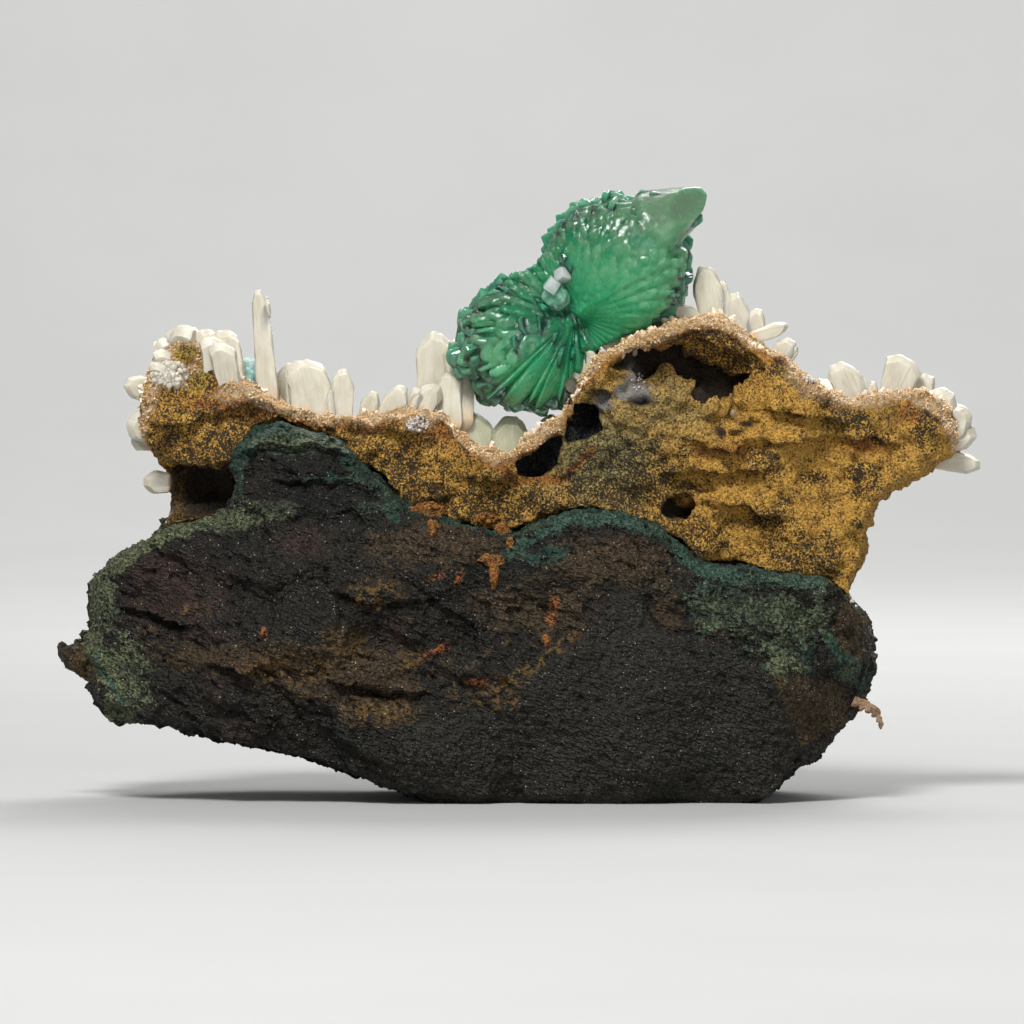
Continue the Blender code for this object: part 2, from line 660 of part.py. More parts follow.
def fan_core():
    """The mass that the blades have grown into: two lobes with a waist between them."""
    core = ball("apophyllite_bowtie", (0, 0, 0), (1, 1, 1))
    for vert in core.data.vertices:
        way = vert.co.normalized()
        rise = math.degrees(math.asin(max(-1, min(1, way.y))))
        angle = math.degrees(math.atan2(way.z, way.x))
        reach = reach_at(angle) * ring_share(rise) * FAN_CORE_SHARE
        pole = max(0, (abs(rise) - FAN_POLE_FROM) / (QUARTER_TURN - FAN_POLE_FROM))
        vert.co = way * (reach + (FAN_POLE_RADIUS - reach) * pole) * MM
    core.data.transform(Matrix.Translation(Vector(FAN_CENTRE) * MM))
    return core


def fan_blade(name, length, width, thick):
    """A blade of apophyllite: a four-sided shaft that widens to a low pyramid."""
    bpy.ops.mesh.primitive_cone_add(
        vertices=4, radius1=FAN_ROOT, radius2=FAN_HEAD, depth=1.0, location=(0, 0, 0.5)
    )
    obj = bpy.context.object
    obj.name = name
    shaft = as_mesh(obj)
    body = bmesh.new()
    body.from_mesh(shaft.data)
    shoulder = [v for v in body.verts if v.co.z > FAN_SHOULDER]
    for vert in shoulder:
        vert.co.z = FAN_SHOULDER
    top = [f for f in body.faces if all(v in shoulder for v in f.verts)]
    for made in bmesh.ops.poke(body, faces=top)["verts"]:
        made.co.z = 1.0
    body.to_mesh(shaft.data)
    body.free()
    shaft.data.transform(Matrix.Rotation(math.radians(QUARTER_TURN / 2), 4, "Z"))
    shaft.data.transform(Matrix.Diagonal((width * MM, thick * MM, length * MM, 1)))
    return shaft


def clear_block(name, centre, size, turn):
    bpy.ops.mesh.primitive_cube_add(size=size * MM, location=Vector(centre) * MM)
    obj = bpy.context.object
    obj.name = name
    obj.rotation_euler = [math.radians(angle) for angle in turn]
    return as_mesh(obj)


def make_bowtie(crust):
    """The double fan of apophyllite, its blades spreading from one centre."""
    dice = random.Random(11)
    centre = Matrix.Translation(Vector(FAN_CENTRE) * MM)
    bowtie = fan_core()
    for first, last in (RIGHT_FAN, LEFT_FAN):
        for ring, rise in enumerate(FAN_RINGS):
            share = ring_share(rise)
            level = math.cos(math.radians(rise))
            count = round(FAN_BLADES * (BLADES_AT_LEAST + (1 - BLADES_AT_LEAST) * level))
            for step in range(count):
                along = (step + 0.5 - RING_STAGGER * (ring % 2)) / count
                angle = first + (last - first) * along
                length = reach_at(angle) * share * dice.uniform(*FAN_LENGTHS)
                shaft = fan_blade("shaft", length, FAN_WIDTH * length, FAN_THICK * length)
                heading = Vector((
                    math.cos(math.radians(angle)) * level,
                    math.sin(math.radians(rise)),
                    math.sin(math.radians(angle)) * level,
                ))
                turn = heading.to_track_quat("Z", "Y").to_matrix().to_4x4()
                turned = math.radians(dice.uniform(-FAN_TWIST, FAN_TWIST))
                twist = Matrix.Rotation(turned, 4, "Z")
                shaft.data.transform(centre @ turn @ twist)
                bowtie = combine(bowtie, shaft, "UNION")
    for number, (place_at, size, turn) in enumerate(CLEAR_BLOCKS):
        bowtie = combine(bowtie, clear_block(f"clear_{number}", place_at, size, turn), "UNION")
    bowtie.name = "apophyllite_bowtie"
    return cut_clear(bowtie, [crust])


def room_round(obj, triangles):
    """A plainer, slightly larger form round a many-sided body, to keep others off it."""
    plain = thin_out(even_mesh(copy_of(obj, "room")), triangles)
    room = grown(plain, ROOM_GAP)
    delete(plain)
    return room


def finish(obj, finish_material, model, stand):
    """Sets material and collection, and places the object by its location and rotation."""
    obj.data.name = obj.name
    obj.data.materials.clear()
    obj.data.materials.append(finish_material)
    obj.data.transform(stand.inverted())
    obj.matrix_world = stand
    bpy.context.scene.collection.objects.unlink(obj)
    model.objects.link(obj)


def stand_on_origin(objects, model):
    """Carries all pieces on an empty, so that the origin is under the box's middle."""
    bpy.context.view_layer.update()
    corners = [obj.matrix_world @ v.co for obj in objects for v in obj.data.vertices]
    carrier = bpy.data.objects.new("specimen", None)
    model.objects.link(carrier)
    for obj in objects:
        obj.parent = carrier
    carrier.location = (
        -(min(c.x for c in corners) + max(c.x for c in corners)) / 2,
        -(min(c.y for c in corners) + max(c.y for c in corners)) / 2,
        -min(c.z for c in corners),
    )


def main():
    clear_scene()
    model = collection("apophyllite_cluster")
    basalt = material("basalt", (0.045, 0.042, 0.04), 0.8)
    ochre = material("ochre crust", (0.5, 0.3, 0.1), 0.85)
    pearl = material("stilbite", (0.86, 0.83, 0.76), 0.35)
    green = material("apophyllite", (0.16, 0.5, 0.36), 0.12, transmission=0.6)
    rock = make_basalt()
    crust = make_crust(rock)
    bowtie = make_bowtie(crust)
    room = room_round(bowtie, ROOM_TRIANGLES)
    blades = make_stilbites(crust, room)
    small = cut_clear(grow("apophyllite_small", SMALL_APOPHYLLITE), [crust, *blades])
    sheaves = make_far_sheaves(crust, rock, [small, *blades], room)
    delete(room)
    rock.data.shade_smooth()
    crust.data.shade_smooth()
    finish(rock, basalt, model, Matrix.Identity(4))
    finish(crust, ochre, model, Matrix.Identity(4))
    finish(bowtie, green, model, Matrix.Translation(Vector(FAN_CENTRE) * MM))
    finish(small, green, model, standing(SMALL_APOPHYLLITE[0]))
    for obj in blades:
        finish(obj, pearl, model, standing(STILBITES[obj.name][0]))
    for obj in sheaves:
        finish(obj, pearl, model, Matrix.Translation(middle_of(obj)))
    stand_on_origin([rock, crust, bowtie, small, *blades, *sheaves], model)


if __name__ == "__main__":
    main()
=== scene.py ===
"""A double fan of green apophyllite with white stilbite on an ochre crust and dark basalt.

Sizes are in millimetres and made metres by MM. X runs to the right, Y away from the
viewer and Z up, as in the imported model.
"""

import math
import random

import bpy
import numpy as np
from mathutils import Matrix, Vector
from mathutils.bvhtree import BVHTree


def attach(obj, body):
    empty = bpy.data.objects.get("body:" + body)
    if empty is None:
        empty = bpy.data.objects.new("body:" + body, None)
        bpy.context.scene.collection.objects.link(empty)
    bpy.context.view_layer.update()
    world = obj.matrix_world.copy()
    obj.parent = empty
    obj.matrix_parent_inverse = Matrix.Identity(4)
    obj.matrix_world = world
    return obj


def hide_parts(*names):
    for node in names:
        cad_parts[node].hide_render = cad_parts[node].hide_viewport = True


MM = 0.001
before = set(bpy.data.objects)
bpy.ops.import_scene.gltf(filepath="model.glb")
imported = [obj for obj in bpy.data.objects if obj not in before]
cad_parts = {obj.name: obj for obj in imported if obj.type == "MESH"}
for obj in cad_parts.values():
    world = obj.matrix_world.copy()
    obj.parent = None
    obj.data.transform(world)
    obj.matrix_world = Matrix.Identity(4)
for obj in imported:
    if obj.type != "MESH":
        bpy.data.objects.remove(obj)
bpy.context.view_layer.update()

# A place on the front is given in steps across and down from the view's upper left corner
FRONT_STEP = 0.15
FRONT_LEFT = -78.336
FRONT_TOP = 119.7

FAN_CENTRE = np.array((7.96, -1.78, 72.2))
FAN_OUTLINE = [
    (590, 322), (607, 333), (617, 338), (643, 335), (660, 328), (668, 313), (683, 303), (692, 280),
    (695, 267), (698, 255), (699, 245), (690, 240), (695, 223), (703, 213), (707, 195), (700, 188),
    (682, 188), (662, 190), (640, 192), (623, 195), (617, 187), (600, 195), (582, 198), (573, 203),
    (563, 217), (553, 230), (550, 255), (555, 270), (547, 278), (530, 275), (507, 277), (490, 282),
    (488, 287), (473, 297), (462, 312), (451, 323), (455, 335), (453, 347), (447, 357), (443, 368),
    (450, 380), (470, 382), (475, 407), (495, 403), (507, 417), (520, 412), (537, 420), (547, 413),
    (557, 413), (563, 395), (567, 380), (573, 372), (584, 371), (592, 362), (592, 345),
]


def front(across, down):
    """X and Z of a place on the front, in millimetres."""
    return FRONT_LEFT + FRONT_STEP * across, FRONT_TOP - FRONT_STEP * down


# ---- selecting and shaping -------------------------------------------------


def nothing_selected():
    if bpy.context.object and bpy.context.object.mode != "OBJECT":
        bpy.ops.object.mode_set(mode="OBJECT")
    bpy.ops.object.select_all(action="DESELECT")


def only(obj):
    nothing_selected()
    obj.select_set(True)
    bpy.context.view_layer.objects.active = obj
    return obj


def new_object(name, mesh):
    obj = bpy.data.objects.new(name, mesh)
    bpy.context.scene.collection.objects.link(obj)
    return obj


def apply_modifiers(obj):
    only(obj)
    for change in list(obj.modifiers):
        bpy.ops.object.modifier_apply(modifier=change.name)


def edit(obj, select="SELECT"):
    only(obj)
    bpy.ops.object.mode_set(mode="EDIT")
    bpy.ops.mesh.select_mode(type="VERT")
    bpy.ops.mesh.select_all(action=select)


def leave_edit():
    bpy.ops.object.mode_set(mode="OBJECT")


def cut_off(obj, at, facing):
    """Cuts away what lies beyond a plane and closes the cut."""
    edit(obj)
    bpy.ops.mesh.bisect(
        plane_co=at, plane_no=Vector(facing).normalized(), use_fill=True, clear_outer=True,
        threshold=0.00001,
    )
    leave_edit()


def ring_at(obj, height):
    edit(obj)
    bpy.ops.mesh.bisect(plane_co=(0, 0, height), plane_no=(0, 0, 1), threshold=0.00001)
    leave_edit()


def soft_shaded(obj, degrees):
    only(obj)
    bpy.ops.object.shade_smooth_by_angle(angle=math.radians(degrees))


def points_of(obj):
    points = np.empty(len(obj.data.vertices) * 3, np.float32)
    obj.data.vertices.foreach_get("co", points)
    return points.reshape(-1, 3).astype(float)


def marks_of(obj, name):
    values = np.empty(len(obj.data.vertices), np.float32)
    obj.data.attributes[name].data.foreach_get("value", values)
    return values.astype(float)


def put_points(obj, points):
    obj.data.vertices.foreach_set("co", np.asarray(points, np.float32).ravel())
    obj.data.update()


def normals_of(obj):
    normals = np.empty(len(obj.data.vertices) * 3, np.float32)
    obj.data.vertex_normals.foreach_get("vector", normals)
    return normals.reshape(-1, 3).astype(float)


def mark(obj, name, values):
    """Keeps one number, or one place, for each point of the mesh."""
    values = np.asarray(values, np.float32)
    kind, key = ("FLOAT", "value") if values.ndim == 1 else ("FLOAT_VECTOR", "vector")
    made = obj.data.attributes.new(name, kind, "POINT")
    made.data.foreach_set(key, values.ravel())


# ---- noise in arrays ------------------------------------------------------


def dice_at(cells, seed):
    """A steady random number from 0 to 1 for each whole-numbered cell."""
    cells = cells.astype(np.int64).astype(np.uint32)
    mixed = cells[..., 0] * np.uint32(374761393) + cells[..., 1] * np.uint32(668265263)
    mixed = mixed + cells[..., 2] * np.uint32(2246822519)
    mixed = mixed + np.uint32(seed * 3266489917 % 4294967296)
    mixed = (mixed ^ (mixed >> np.uint32(13))) * np.uint32(1274126177)
    mixed = mixed ^ (mixed >> np.uint32(16))
    mixed = mixed * np.uint32(2654435761)
    mixed = mixed ^ (mixed >> np.uint32(15))
    return mixed / 4294967296.0


def swell(points, seed=0):
    """Smooth noise from -1 to 1 with lumps one unit across."""
    base = np.floor(points)
    part = points - base
    part = part * part * (3 - 2 * part)
    total = np.zeros(len(points))
    for dx in (0, 1):
        for dy in (0, 1):
            for dz in (0, 1):
                corner = dice_at(base + (dx, dy, dz), seed)
                share = (part[:, 0] if dx else 1 - part[:, 0])
                share = share * (part[:, 1] if dy else 1 - part[:, 1])
                share = share * (part[:, 2] if dz else 1 - part[:, 2])
                total += share * corner
    return total * 2 - 1


def rough(points, octaves=4, seed=0, fall=0.5):
    total, height, size = np.zeros(len(points)), 1.0, 1.0
    for octave in range(octaves):
        total += height * swell(points * size + 17.3 * octave, seed + octave)
        height *= fall
        size *= 2.03
    return total


def grains(points, seed=0):
    """Distance to the nearest grain's middle, its offset from it, and three dice of it."""
    base = np.floor(points)
    nearest = np.full(len(points), 9.0)
    offset = np.zeros((len(points), 3))
    cell = np.zeros((len(points), 3))
    for dx in (-1, 0, 1):
        for dy in (-1, 0, 1):
            for dz in (-1, 0, 1):
                here = base + (dx, dy, dz)
                middle = here + np.stack([dice_at(here, seed + k) for k in range(3)], 1)
                away = points - middle
                far = (away * away).sum(1)
                closer = far < nearest
                nearest[closer] = far[closer]
                offset[closer] = away[closer]
                cell[closer] = here[closer]
    dice = np.stack([dice_at(cell, seed + 10 + k) for k in range(3)], 1)
    return np.sqrt(nearest), offset, dice


def smooth_step(value, low, high):
    share = np.clip((value - low) / (high - low), 0, 1)
    return share * share * (3 - 2 * share)


def chips(points, seed=0):
    """Height of broken faces: every grain is a small plane of its own tilt."""
    _, offset, dice = grains(points, seed)
    return (dice[:, 0] - 0.5) + (offset * (dice - 0.5)).sum(1) * 1.6


# ---- marks on the front ---------------------------------------------------


def blot(points, across, down, half_wide, half_high, turn=0.0, soft=0.45, wobble=0.35):
    """Share of a ragged oval blot at each point, seen from the front."""
    x, z = front(across, down)
    along = (points[:, 0] - x) / FRONT_STEP
    up = (points[:, 2] - z) / FRONT_STEP
    c, s = math.cos(math.radians(turn)), math.sin(math.radians(turn))
    u = (along * c + up * s) / half_wide
    v = (-along * s + up * c) / half_high
    ragged = wobble * rough(points / 2.2, 3, seed=int(across) + int(down))
    return 1 - smooth_step(np.sqrt(u * u + v * v) + ragged, 1 - soft, 1 + soft)


def from_path(points, path):
    """Distance of each point from a path on the front, in millimetres."""
    best = np.full(len(points), 1e9)
    flat = points[:, (0, 2)]
    places = [np.array(front(*p)) for p in path]
    for a, b in zip(places, places[1:]):
        run = b - a
        share = np.clip(((flat - a) @ run) / (run @ run), 0, 1)
        gap = flat - (a + share[:, None] * run)
        best = np.minimum(best, np.sqrt((gap * gap).sum(1)))
    return best


def band(points, path, half_wide, wobble=0.4, soft=0.5):
    """Share of a ragged band along a path on the front."""
    ragged = 1 + wobble * rough(points / 1.8, 3, seed=len(path))
    far = from_path(points, path) / (half_wide * FRONT_STEP)
    return 1 - smooth_step(far / ragged, 1 - soft, 1 + soft)


def within(points, corners, soft=2.0):
    """Share of a patch with straight sides, full inside and fading over a soft edge."""
    closed = corners + corners[:1]
    flat = points[:, (0, 2)]
    inside = np.zeros(len(points), bool)
    for a, b in zip(closed, closed[1:]):
        (ax, az), (bx, bz) = front(*a), front(*b)
        spans = (az > flat[:, 1]) != (bz > flat[:, 1])
        rise = bz - az if abs(bz - az) > 1e-9 else 1e-9
        inside ^= spans & (flat[:, 0] < ax + (flat[:, 1] - az) / rise * (bx - ax))
    far = from_path(points, closed) / FRONT_STEP * np.where(inside, 1, -1)
    return smooth_step(far, -soft, soft)


def ledge(points, path, out, above=5.0, below=2.5):
    """How far a ledge stands out: full at its edge, fading above it, cut back below."""
    places = [front(*p) for p in path]
    xs = [p[0] for p in places]
    edge = np.interp(points[:, 0], xs, [p[1] for p in places])
    edge = edge + 0.7 * rough(points / (2.4, 9, 9), 2, seed=len(path) + 3)
    high = points[:, 2] - edge
    ends = smooth_step(points[:, 0], xs[0] - 1, xs[0] + 2.5)
    ends = ends * (1 - smooth_step(points[:, 0], xs[-1] - 2.5, xs[-1] + 1))
    lift = np.where(high > 0, np.exp(-high / above), -0.8 * np.exp(high / below))
    return out * lift * ends


# ---- finishes -------------------------------------------------------------


class Finish:
    """A material that is built up from patterns on the object's own coordinates."""

    def __init__(self, name):
        self.material = bpy.data.materials.new(name)
        self.material.use_nodes = True
        self.nodes = self.material.node_tree.nodes
        self.links = self.material.node_tree.links
        self.shader = self.nodes["Principled BSDF"]
        self.here = self.nodes.new("ShaderNodeTexCoord").outputs["Object"]

    def node(self, kind, **settings):
        made = self.nodes.new(kind)
        for key, value in settings.items():
            setattr(made, key, value)
        return made

    def feed(self, value, socket):
        if isinstance(value, bpy.types.NodeSocket):
            self.links.new(value, socket)
        else:
            socket.default_value = (*value, 1.0) if isinstance(value, tuple) else value

    def mark(self, name):
        return self.node("ShaderNodeAttribute", attribute_name=name).outputs["Fac"]

    def mark_place(self, name):
        return self.node("ShaderNodeAttribute", attribute_name=name).outputs["Vector"]

    def stretched(self, sizes, place=None, dip=0.0):
        """The place divided by a size in millimetres for each axis, its X axis dipping."""
        made = self.node("ShaderNodeMapping", vector_type="TEXTURE")
        made.inputs["Rotation"].default_value = (0, math.radians(dip), 0)
        made.inputs["Scale"].default_value = [s * MM for s in sizes]
        self.feed(place or self.here, made.inputs["Vector"])
        return made.outputs["Vector"]

    def noise(self, size, detail=3.0, roughness=0.55, place=None):
        made = self.node("ShaderNodeTexNoise")
        self.feed(place or self.stretched((size, size, size)), made.inputs["Vector"])
        made.inputs["Scale"].default_value = 1.0
        made.inputs["Detail"].default_value = detail
        made.inputs["Roughness"].default_value = roughness
        return made.outputs["Fac"]

    def cells(self, size, feature="F1", place=None, output="Distance"):
        made = self.node("ShaderNodeTexVoronoi", feature=feature)
        self.feed(place or self.stretched((size, size, size)), made.inputs["Vector"])
        made.inputs["Scale"].default_value = 1.0
        return made.outputs[output]

    def between(self, value, low, high, to_low=0.0, to_high=1.0):
        made = self.node("ShaderNodeMapRange", interpolation_type="SMOOTHSTEP")
        self.feed(value, made.inputs["Value"])
        self.feed(low, made.inputs["From Min"])
        self.feed(high, made.inputs["From Max"])
        self.feed(to_low, made.inputs["To Min"])
        self.feed(to_high, made.inputs["To Max"])
        return made.outputs["Result"]

    def sum(self, operation, a, b=0.0):
        made = self.node("ShaderNodeMath", operation=operation)
        self.feed(a, made.inputs[0])
        self.feed(b, made.inputs[1])
        return made.outputs[0]

    def mix(self, share, a, b):
        made = self.node("ShaderNodeMix", data_type="RGBA")
        self.feed(share, made.inputs[0])
        self.feed(a, made.inputs[6])
        self.feed(b, made.inputs[7])
        return made.outputs[2]

    def set(self, **values):
        for name, value in values.items():
            self.feed(value, self.shader.inputs[name.replace("_", " ")])

    def bump(self, height, strength, depth):
        """Relief finer than the mesh: a height from 0 to 1 over a depth in millimetres."""
        made = self.node("ShaderNodeBump")
        made.inputs["Strength"].default_value = strength
        made.inputs["Distance"].default_value = depth * MM
        self.feed(height, made.inputs["Height"])
        self.links.new(made.outputs["Normal"], self.shader.inputs["Normal"])


def basalt_finish():
    f = Finish("basalt")
    fine, broad = f.noise(0.5, 5), f.noise(5.0, 3)
    chip = f.cells(1, place=f.stretched((0.95, 0.5, 0.42), dip=24))
    small_chip = f.cells(1, place=f.stretched((0.45, 0.3, 0.25), dip=18))
    colour = f.mix(f.between(fine, 0.35, 0.65), (0.0030, 0.0026, 0.0017), (0.0135, 0.0122, 0.0084))
    colour = f.mix(f.between(broad, 0.45, 0.75, 0, 0.6), colour, f.mix(fine, (0.006, 0.0048, 0.0024), (0.020, 0.0165, 0.0085)))
    red = f.sum("MULTIPLY", f.mark("red"), f.between(f.noise(1.6, 4), 0.35, 0.6, 0.2, 0.85))
    colour = f.mix(red, colour, f.mix(fine, (0.015, 0.007, 0.0055), (0.048, 0.023, 0.019)))
    patchy = f.between(f.noise(1.3, 5), 0.40, 0.60)
    brown = f.mix(f.between(fine, 0.35, 0.65), (0.013, 0.0085, 0.0038), (0.060, 0.038, 0.018))
    stained = f.between(f.sum("ADD", f.mark("brown"), f.sum("MULTIPLY", patchy, 0.35)), 0.62, 0.95)
    colour = f.mix(stained, colour, brown)
    colour = f.mix(f.mark("facet"), colour, f.mix(f.between(fine, 0.35, 0.65), (0.0055, 0.0050, 0.0034), (0.0215, 0.0200, 0.0145)))
    grit = f.sum("MULTIPLY", f.between(f.noise(0.28, 2, 0.5), 0.60, 0.68), f.between(f.noise(2.5, 3), 0.4, 0.6, 0.3, 1.0))
    colour = f.mix(f.sum("MULTIPLY", grit, 0.55), colour, (0.105, 0.098, 0.062))
    # Painted shade: the low mark darkens the colour in the recessed relief and over the shaded hump.
    colour = f.mix(f.sum("MULTIPLY", f.mark("low"), 0.62), colour, (0.002, 0.002, 0.0015))
    seam = f.between(f.cells(1.9, "DISTANCE_TO_EDGE"), 0.20, 0.05)
    fringe = f.sum("MULTIPLY", f.sum("MAXIMUM", seam, f.between(f.noise(2.2, 3), 0.5, 0.62)), f.between(f.noise(0.7, 5, 0.7), 0.42, 0.56))
    gold = f.sum("MULTIPLY", f.sum("MULTIPLY", f.mark("gold"), fringe), 0.8)
    colour = f.mix(gold, colour, f.mix(fine, (0.05, 0.026, 0.007), (0.21, 0.12, 0.03)))
    mottle = f.between(f.noise(0.5, 5, 0.7), 0.40, 0.62)
    pale = f.mix(f.mark("pale"), (0.024, 0.058, 0.038), (0.125, 0.140, 0.070))
    deep = f.mix(f.mark("pale"), (0.006, 0.015, 0.011), (0.013, 0.017, 0.010))
    green = f.mix(mottle, deep, pale)
    green = f.mix(f.mark("teal"), green, f.mix(mottle, (0.008, 0.028, 0.021), (0.066, 0.115, 0.078)))
    # Painted shade: the same low mark darkens the green skin in the recesses.
    green = f.mix(f.sum("MULTIPLY", f.mark("low"), 0.7), green, (0.005, 0.007, 0.006))
    ragged = f.sum("ADD", f.sum("MULTIPLY", mottle, 0.35), f.between(f.noise(1.4, 4), 0.3, 0.7, -0.25, 0.25))
    cover = f.between(f.sum("ADD", f.mark("green"), ragged), 0.55, 0.80)
    colour = f.mix(cover, colour, green)
    rust = f.sum("MULTIPLY", f.mark("rust"), f.between(f.noise(0.5, 4), 0.44, 0.52))
    colour = f.mix(rust, colour, f.mix(fine, (0.16, 0.035, 0.008), (0.36, 0.12, 0.035)))
    glint = f.sum("MULTIPLY", f.between(f.cells(0.62), 0.17, 0.11), f.between(f.noise(1.3, 3), 0.50, 0.62))
    colour = f.mix(f.sum("MULTIPLY", glint, 0.75), colour, (0.46, 0.45, 0.38))
    f.set(Base_Color=colour, Roughness=f.between(glint, 0, 1, 0.6, 0.15), Specular_IOR_Level=0.22)
    height = f.sum("ADD", f.sum("MULTIPLY", chip, 0.9), f.sum("MULTIPLY", small_chip, 0.5))
    f.bump(f.sum("ADD", height, f.sum("MULTIPLY", fine, 0.5)), 1.0, 0.5)
    return f.material


def crust_finish():
    f = Finish("ochre crust")
    fine, broad = f.noise(0.35, 4, 0.65), f.noise(3.0, 3)
    crumb = f.between(f.noise(0.34, 3, 0.75), 0.30, 0.70)
    grain = f.sum("SUBTRACT", f.sum("MULTIPLY", crumb, 1.1), f.sum("MULTIPLY", f.cells(0.55), 0.30))
    ochre = f.mix(f.between(fine, 0.36, 0.62), (0.30, 0.125, 0.014), (0.88, 0.51, 0.100))
    ochre = f.mix(f.between(broad, 0.4, 0.7, 0, 0.45), ochre, (0.72, 0.40, 0.068))
    straw = f.mix(f.between(fine, 0.36, 0.62), (0.07, 0.055, 0.013), (0.47, 0.39, 0.16))
    ochre = f.mix(f.mark("straw"), ochre, straw)
    orange = f.mix(f.between(fine, 0.3, 0.7), (0.20, 0.05, 0.006), (0.62, 0.28, 0.06))
    ochre = f.mix(f.mark("orange"), ochre, orange)
    yellow = f.mix(f.between(fine, 0.3, 0.7), (0.33, 0.19, 0.012), (0.66, 0.46, 0.10))
    ochre = f.mix(f.mark("yellow"), ochre, yellow)
    patch = f.between(f.noise(1.7, 4, 0.6), 0.3, 0.7, -0.22, 0.22)
    # The speck mark holds the crust's own black specks and painted shade in the pits between grains.
    level = f.sum("ADD", f.between(f.mark("speck"), 0, 1, 0.02, 0.56), patch)
    cover = f.between(f.sum("SUBTRACT", level, grain), -0.05, 0.06, 0, 0.94)
    black = f.mix(fine, (0.008, 0.007, 0.005), (0.045, 0.038, 0.020))
    brown = f.between(f.noise(1.7, 4, 0.6), 0.52, 0.68, 0, 0.45)
    ochre = f.mix(brown, ochre, f.mix(fine, (0.06, 0.022, 0.006), (0.30, 0.15, 0.045)))
    colour = f.mix(cover, ochre, black)
    # Painted shade: a dark brown colour for the hollows and the cracks under the lips.
    hollow = f.mix(f.between(fine, 0.35, 0.65), (0.006, 0.005, 0.004), (0.05, 0.030, 0.014))
    colour = f.mix(f.mark("painted_hollow_shade"), colour, hollow)
    colour = f.mix(f.mark("black"), colour, f.mix(f.between(fine, 0.5, 0.7), (0.012, 0.012, 0.013), (0.07, 0.07, 0.075)))
    colour = f.mix(f.mark("quartz"), colour, f.mix(fine, (0.10, 0.095, 0.09), (0.50, 0.47, 0.43)))
    sugar_grain = f.between(f.noise(0.6, 4), 0.35, 0.65)
    sugar = f.mix(sugar_grain, (0.45, 0.24, 0.08), (0.72, 0.54, 0.34))
    sugar = f.mix(f.mark("peach"), f.mix(sugar_grain, (0.46, 0.33, 0.22), (0.74, 0.64, 0.52)), sugar)
    colour = f.mix(f.mark("lining"), colour, sugar)
    gloss = f.sum("MAXIMUM", f.mark("lining"), f.mark("black"))
    f.set(Base_Color=colour, Roughness=f.between(gloss, 0, 1, 0.75, 0.2), Specular_IOR_Level=0.3)
    height = f.sum("ADD", f.sum("MULTIPLY", fine, 0.6), f.sum("MULTIPLY", grain, 0.8))
    f.bump(height, 1.0, 0.45)
    return f.material


def druse_finish():
    f = Finish("sugary druse")
    tint = f.between(f.noise(2.5, 3), 0.35, 0.65)
    warm = f.mix(tint, (0.52, 0.30, 0.10), (0.70, 0.51, 0.30))
    peach = f.mix(f.mark("peach"), (0.76, 0.68, 0.57), warm)
    f.set(Base_Color=peach, Roughness=0.42, IOR=1.49)
    f.bump(f.noise(0.25, 3), 0.3, 0.05)
    return f.material


def stilbite_finish():
    f = Finish("stilbite")
    grain = f.mark_place("grain")
    lines = f.noise(1, 3, 0.6, f.stretched((0.22, 0.22, 6.0), grain))
    cloud = f.noise(1, 3, 0.5, f.stretched((1.6, 1.6, 3.5), grain))
    white = f.mix(f.between(cloud, 0.3, 0.7), (0.50, 0.46, 0.35), (0.62, 0.58, 0.48))
    white = f.mix(f.between(lines, 0.35, 0.7, 0, 0.4), white, (0.70, 0.67, 0.58))
    white = f.mix(f.sum("MULTIPLY", f.mark("root"), 0.65), white, (0.66, 0.44, 0.28))
    white = f.mix(f.mark("shade"), white, f.mix(cloud, (0.33, 0.35, 0.21), (0.58, 0.58, 0.42)))
    f.set(Base_Color=white, Roughness=f.between(lines, 0.3, 0.7, 0.42, 0.22), IOR=1.5)
    f.set(Subsurface_Weight=0.6, Subsurface_Scale=0.0012, Transmission_Weight=0.08)
    f.shader.inputs["Subsurface Radius"].default_value = (1.0, 0.95, 0.85)
    f.bump(lines, 0.7, 0.12)
    return f.material


